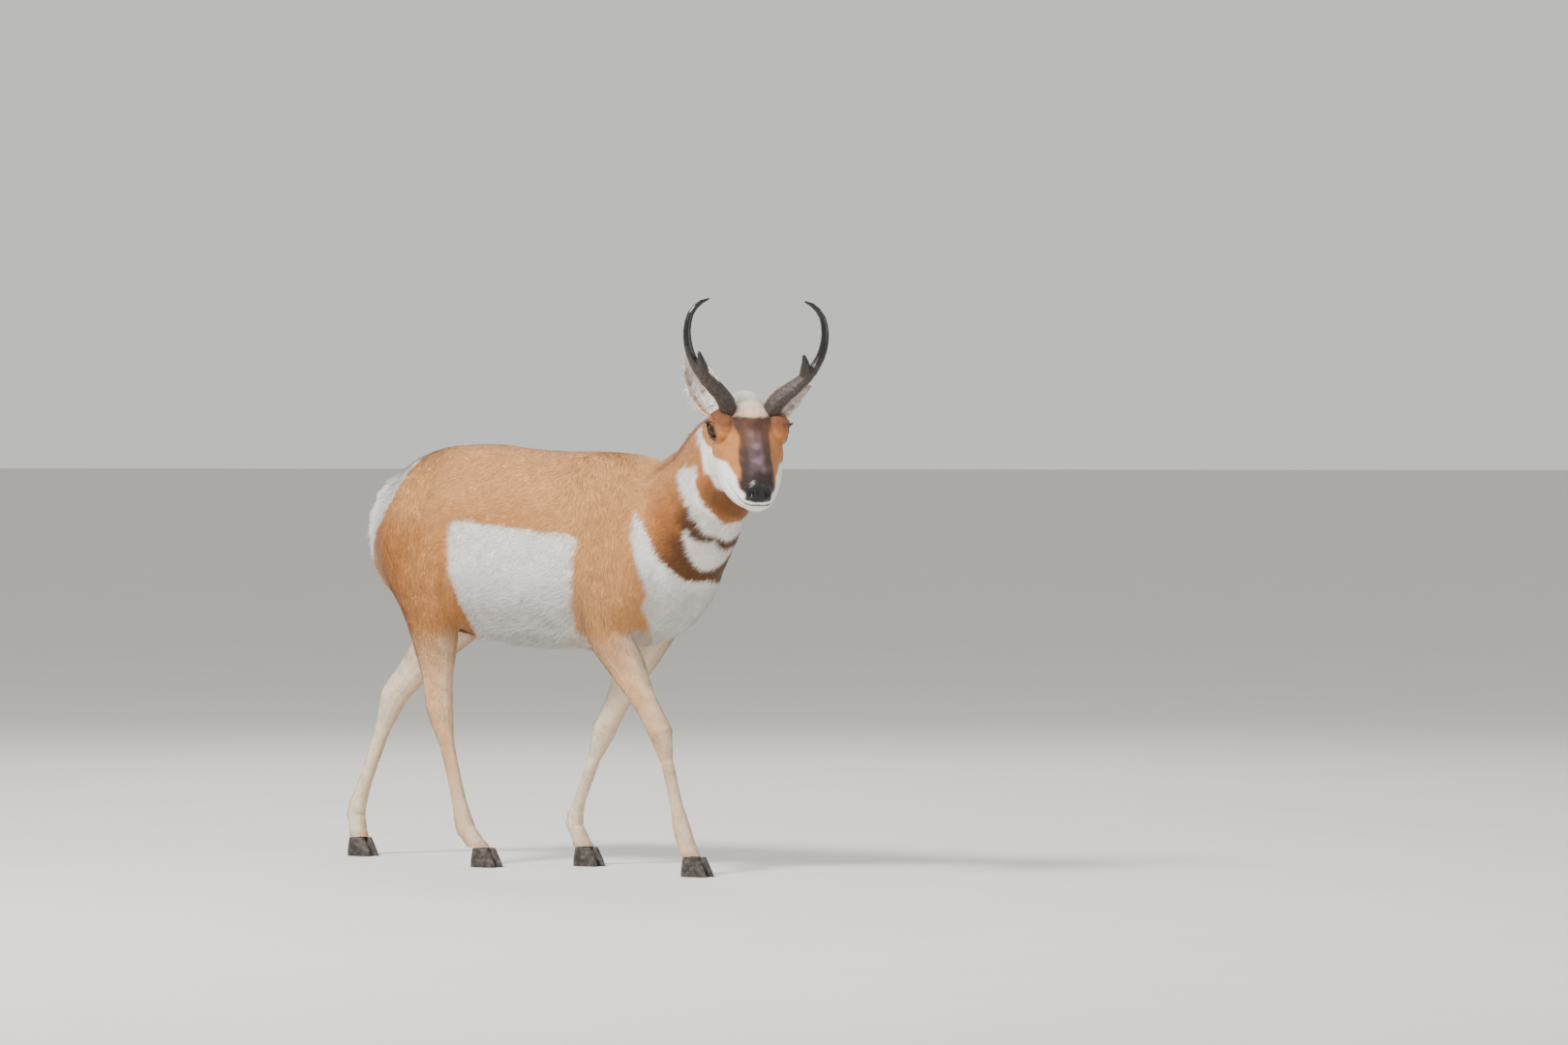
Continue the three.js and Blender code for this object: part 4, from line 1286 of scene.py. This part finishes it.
class PRONGHORN_OT_coat(bpy.types.Operator):
    """Grows the tufts of the coat on the skin"""

    bl_idname = "pronghorn.coat"
    bl_label = "Coat"

    def execute(self, context):
        build_coat()
        return {"FINISHED"}


class PRONGHORN_OT_eyes(bpy.types.Operator):
    """Makes the eyeballs and the lashes"""

    bl_idname = "pronghorn.eyes"
    bl_label = "Eyes and lashes"

    def execute(self, context):
        build_eyes()
        build_lashes()
        return {"FINISHED"}


class PRONGHORN_OT_horns(bpy.types.Operator):
    """Makes the two horn sheaths"""

    bl_idname = "pronghorn.horns"
    bl_label = "Horns"

    def execute(self, context):
        build_horns()
        return {"FINISHED"}


class PRONGHORN_OT_hooves(bpy.types.Operator):
    """Makes the claws of the cleft hooves"""

    bl_idname = "pronghorn.hooves"
    bl_label = "Hooves"

    def execute(self, context):
        build_hooves()
        return {"FINISHED"}


OPERATORS = [
    PRONGHORN_OT_stage, PRONGHORN_OT_skin, PRONGHORN_OT_coat,
    PRONGHORN_OT_eyes, PRONGHORN_OT_horns, PRONGHORN_OT_hooves,
]


class PRONGHORN_PT_panel(bpy.types.Panel):
    """Settings and pieces of the buck"""

    bl_idname = "PRONGHORN_PT_panel"
    bl_label = "Pronghorn"
    bl_space_type = "VIEW_3D"
    bl_region_type = "UI"
    bl_category = "Pronghorn"

    def draw(self, context):
        settings = context.scene.pronghorn
        for name in ["skin_voxel", "coat_density", *COLOURS]:
            self.layout.prop(settings, name)
        for operator in OPERATORS:
            self.layout.operator(operator.bl_idname)


CLASSES = [PronghornSettings, *OPERATORS, PRONGHORN_PT_panel]


def register():
    for cls in CLASSES:
        bpy.utils.register_class(cls)
    bpy.types.Scene.pronghorn = bpy.props.PointerProperty(type=PronghornSettings)


def unregister():
    del bpy.types.Scene.pronghorn
    for cls in reversed(CLASSES):
        bpy.utils.unregister_class(cls)


def main():
    register()
    for name in ("stage", "skin", "coat", "eyes", "horns", "hooves"):
        getattr(bpy.ops.pronghorn, name)()


if __name__ == "__main__":
    main()
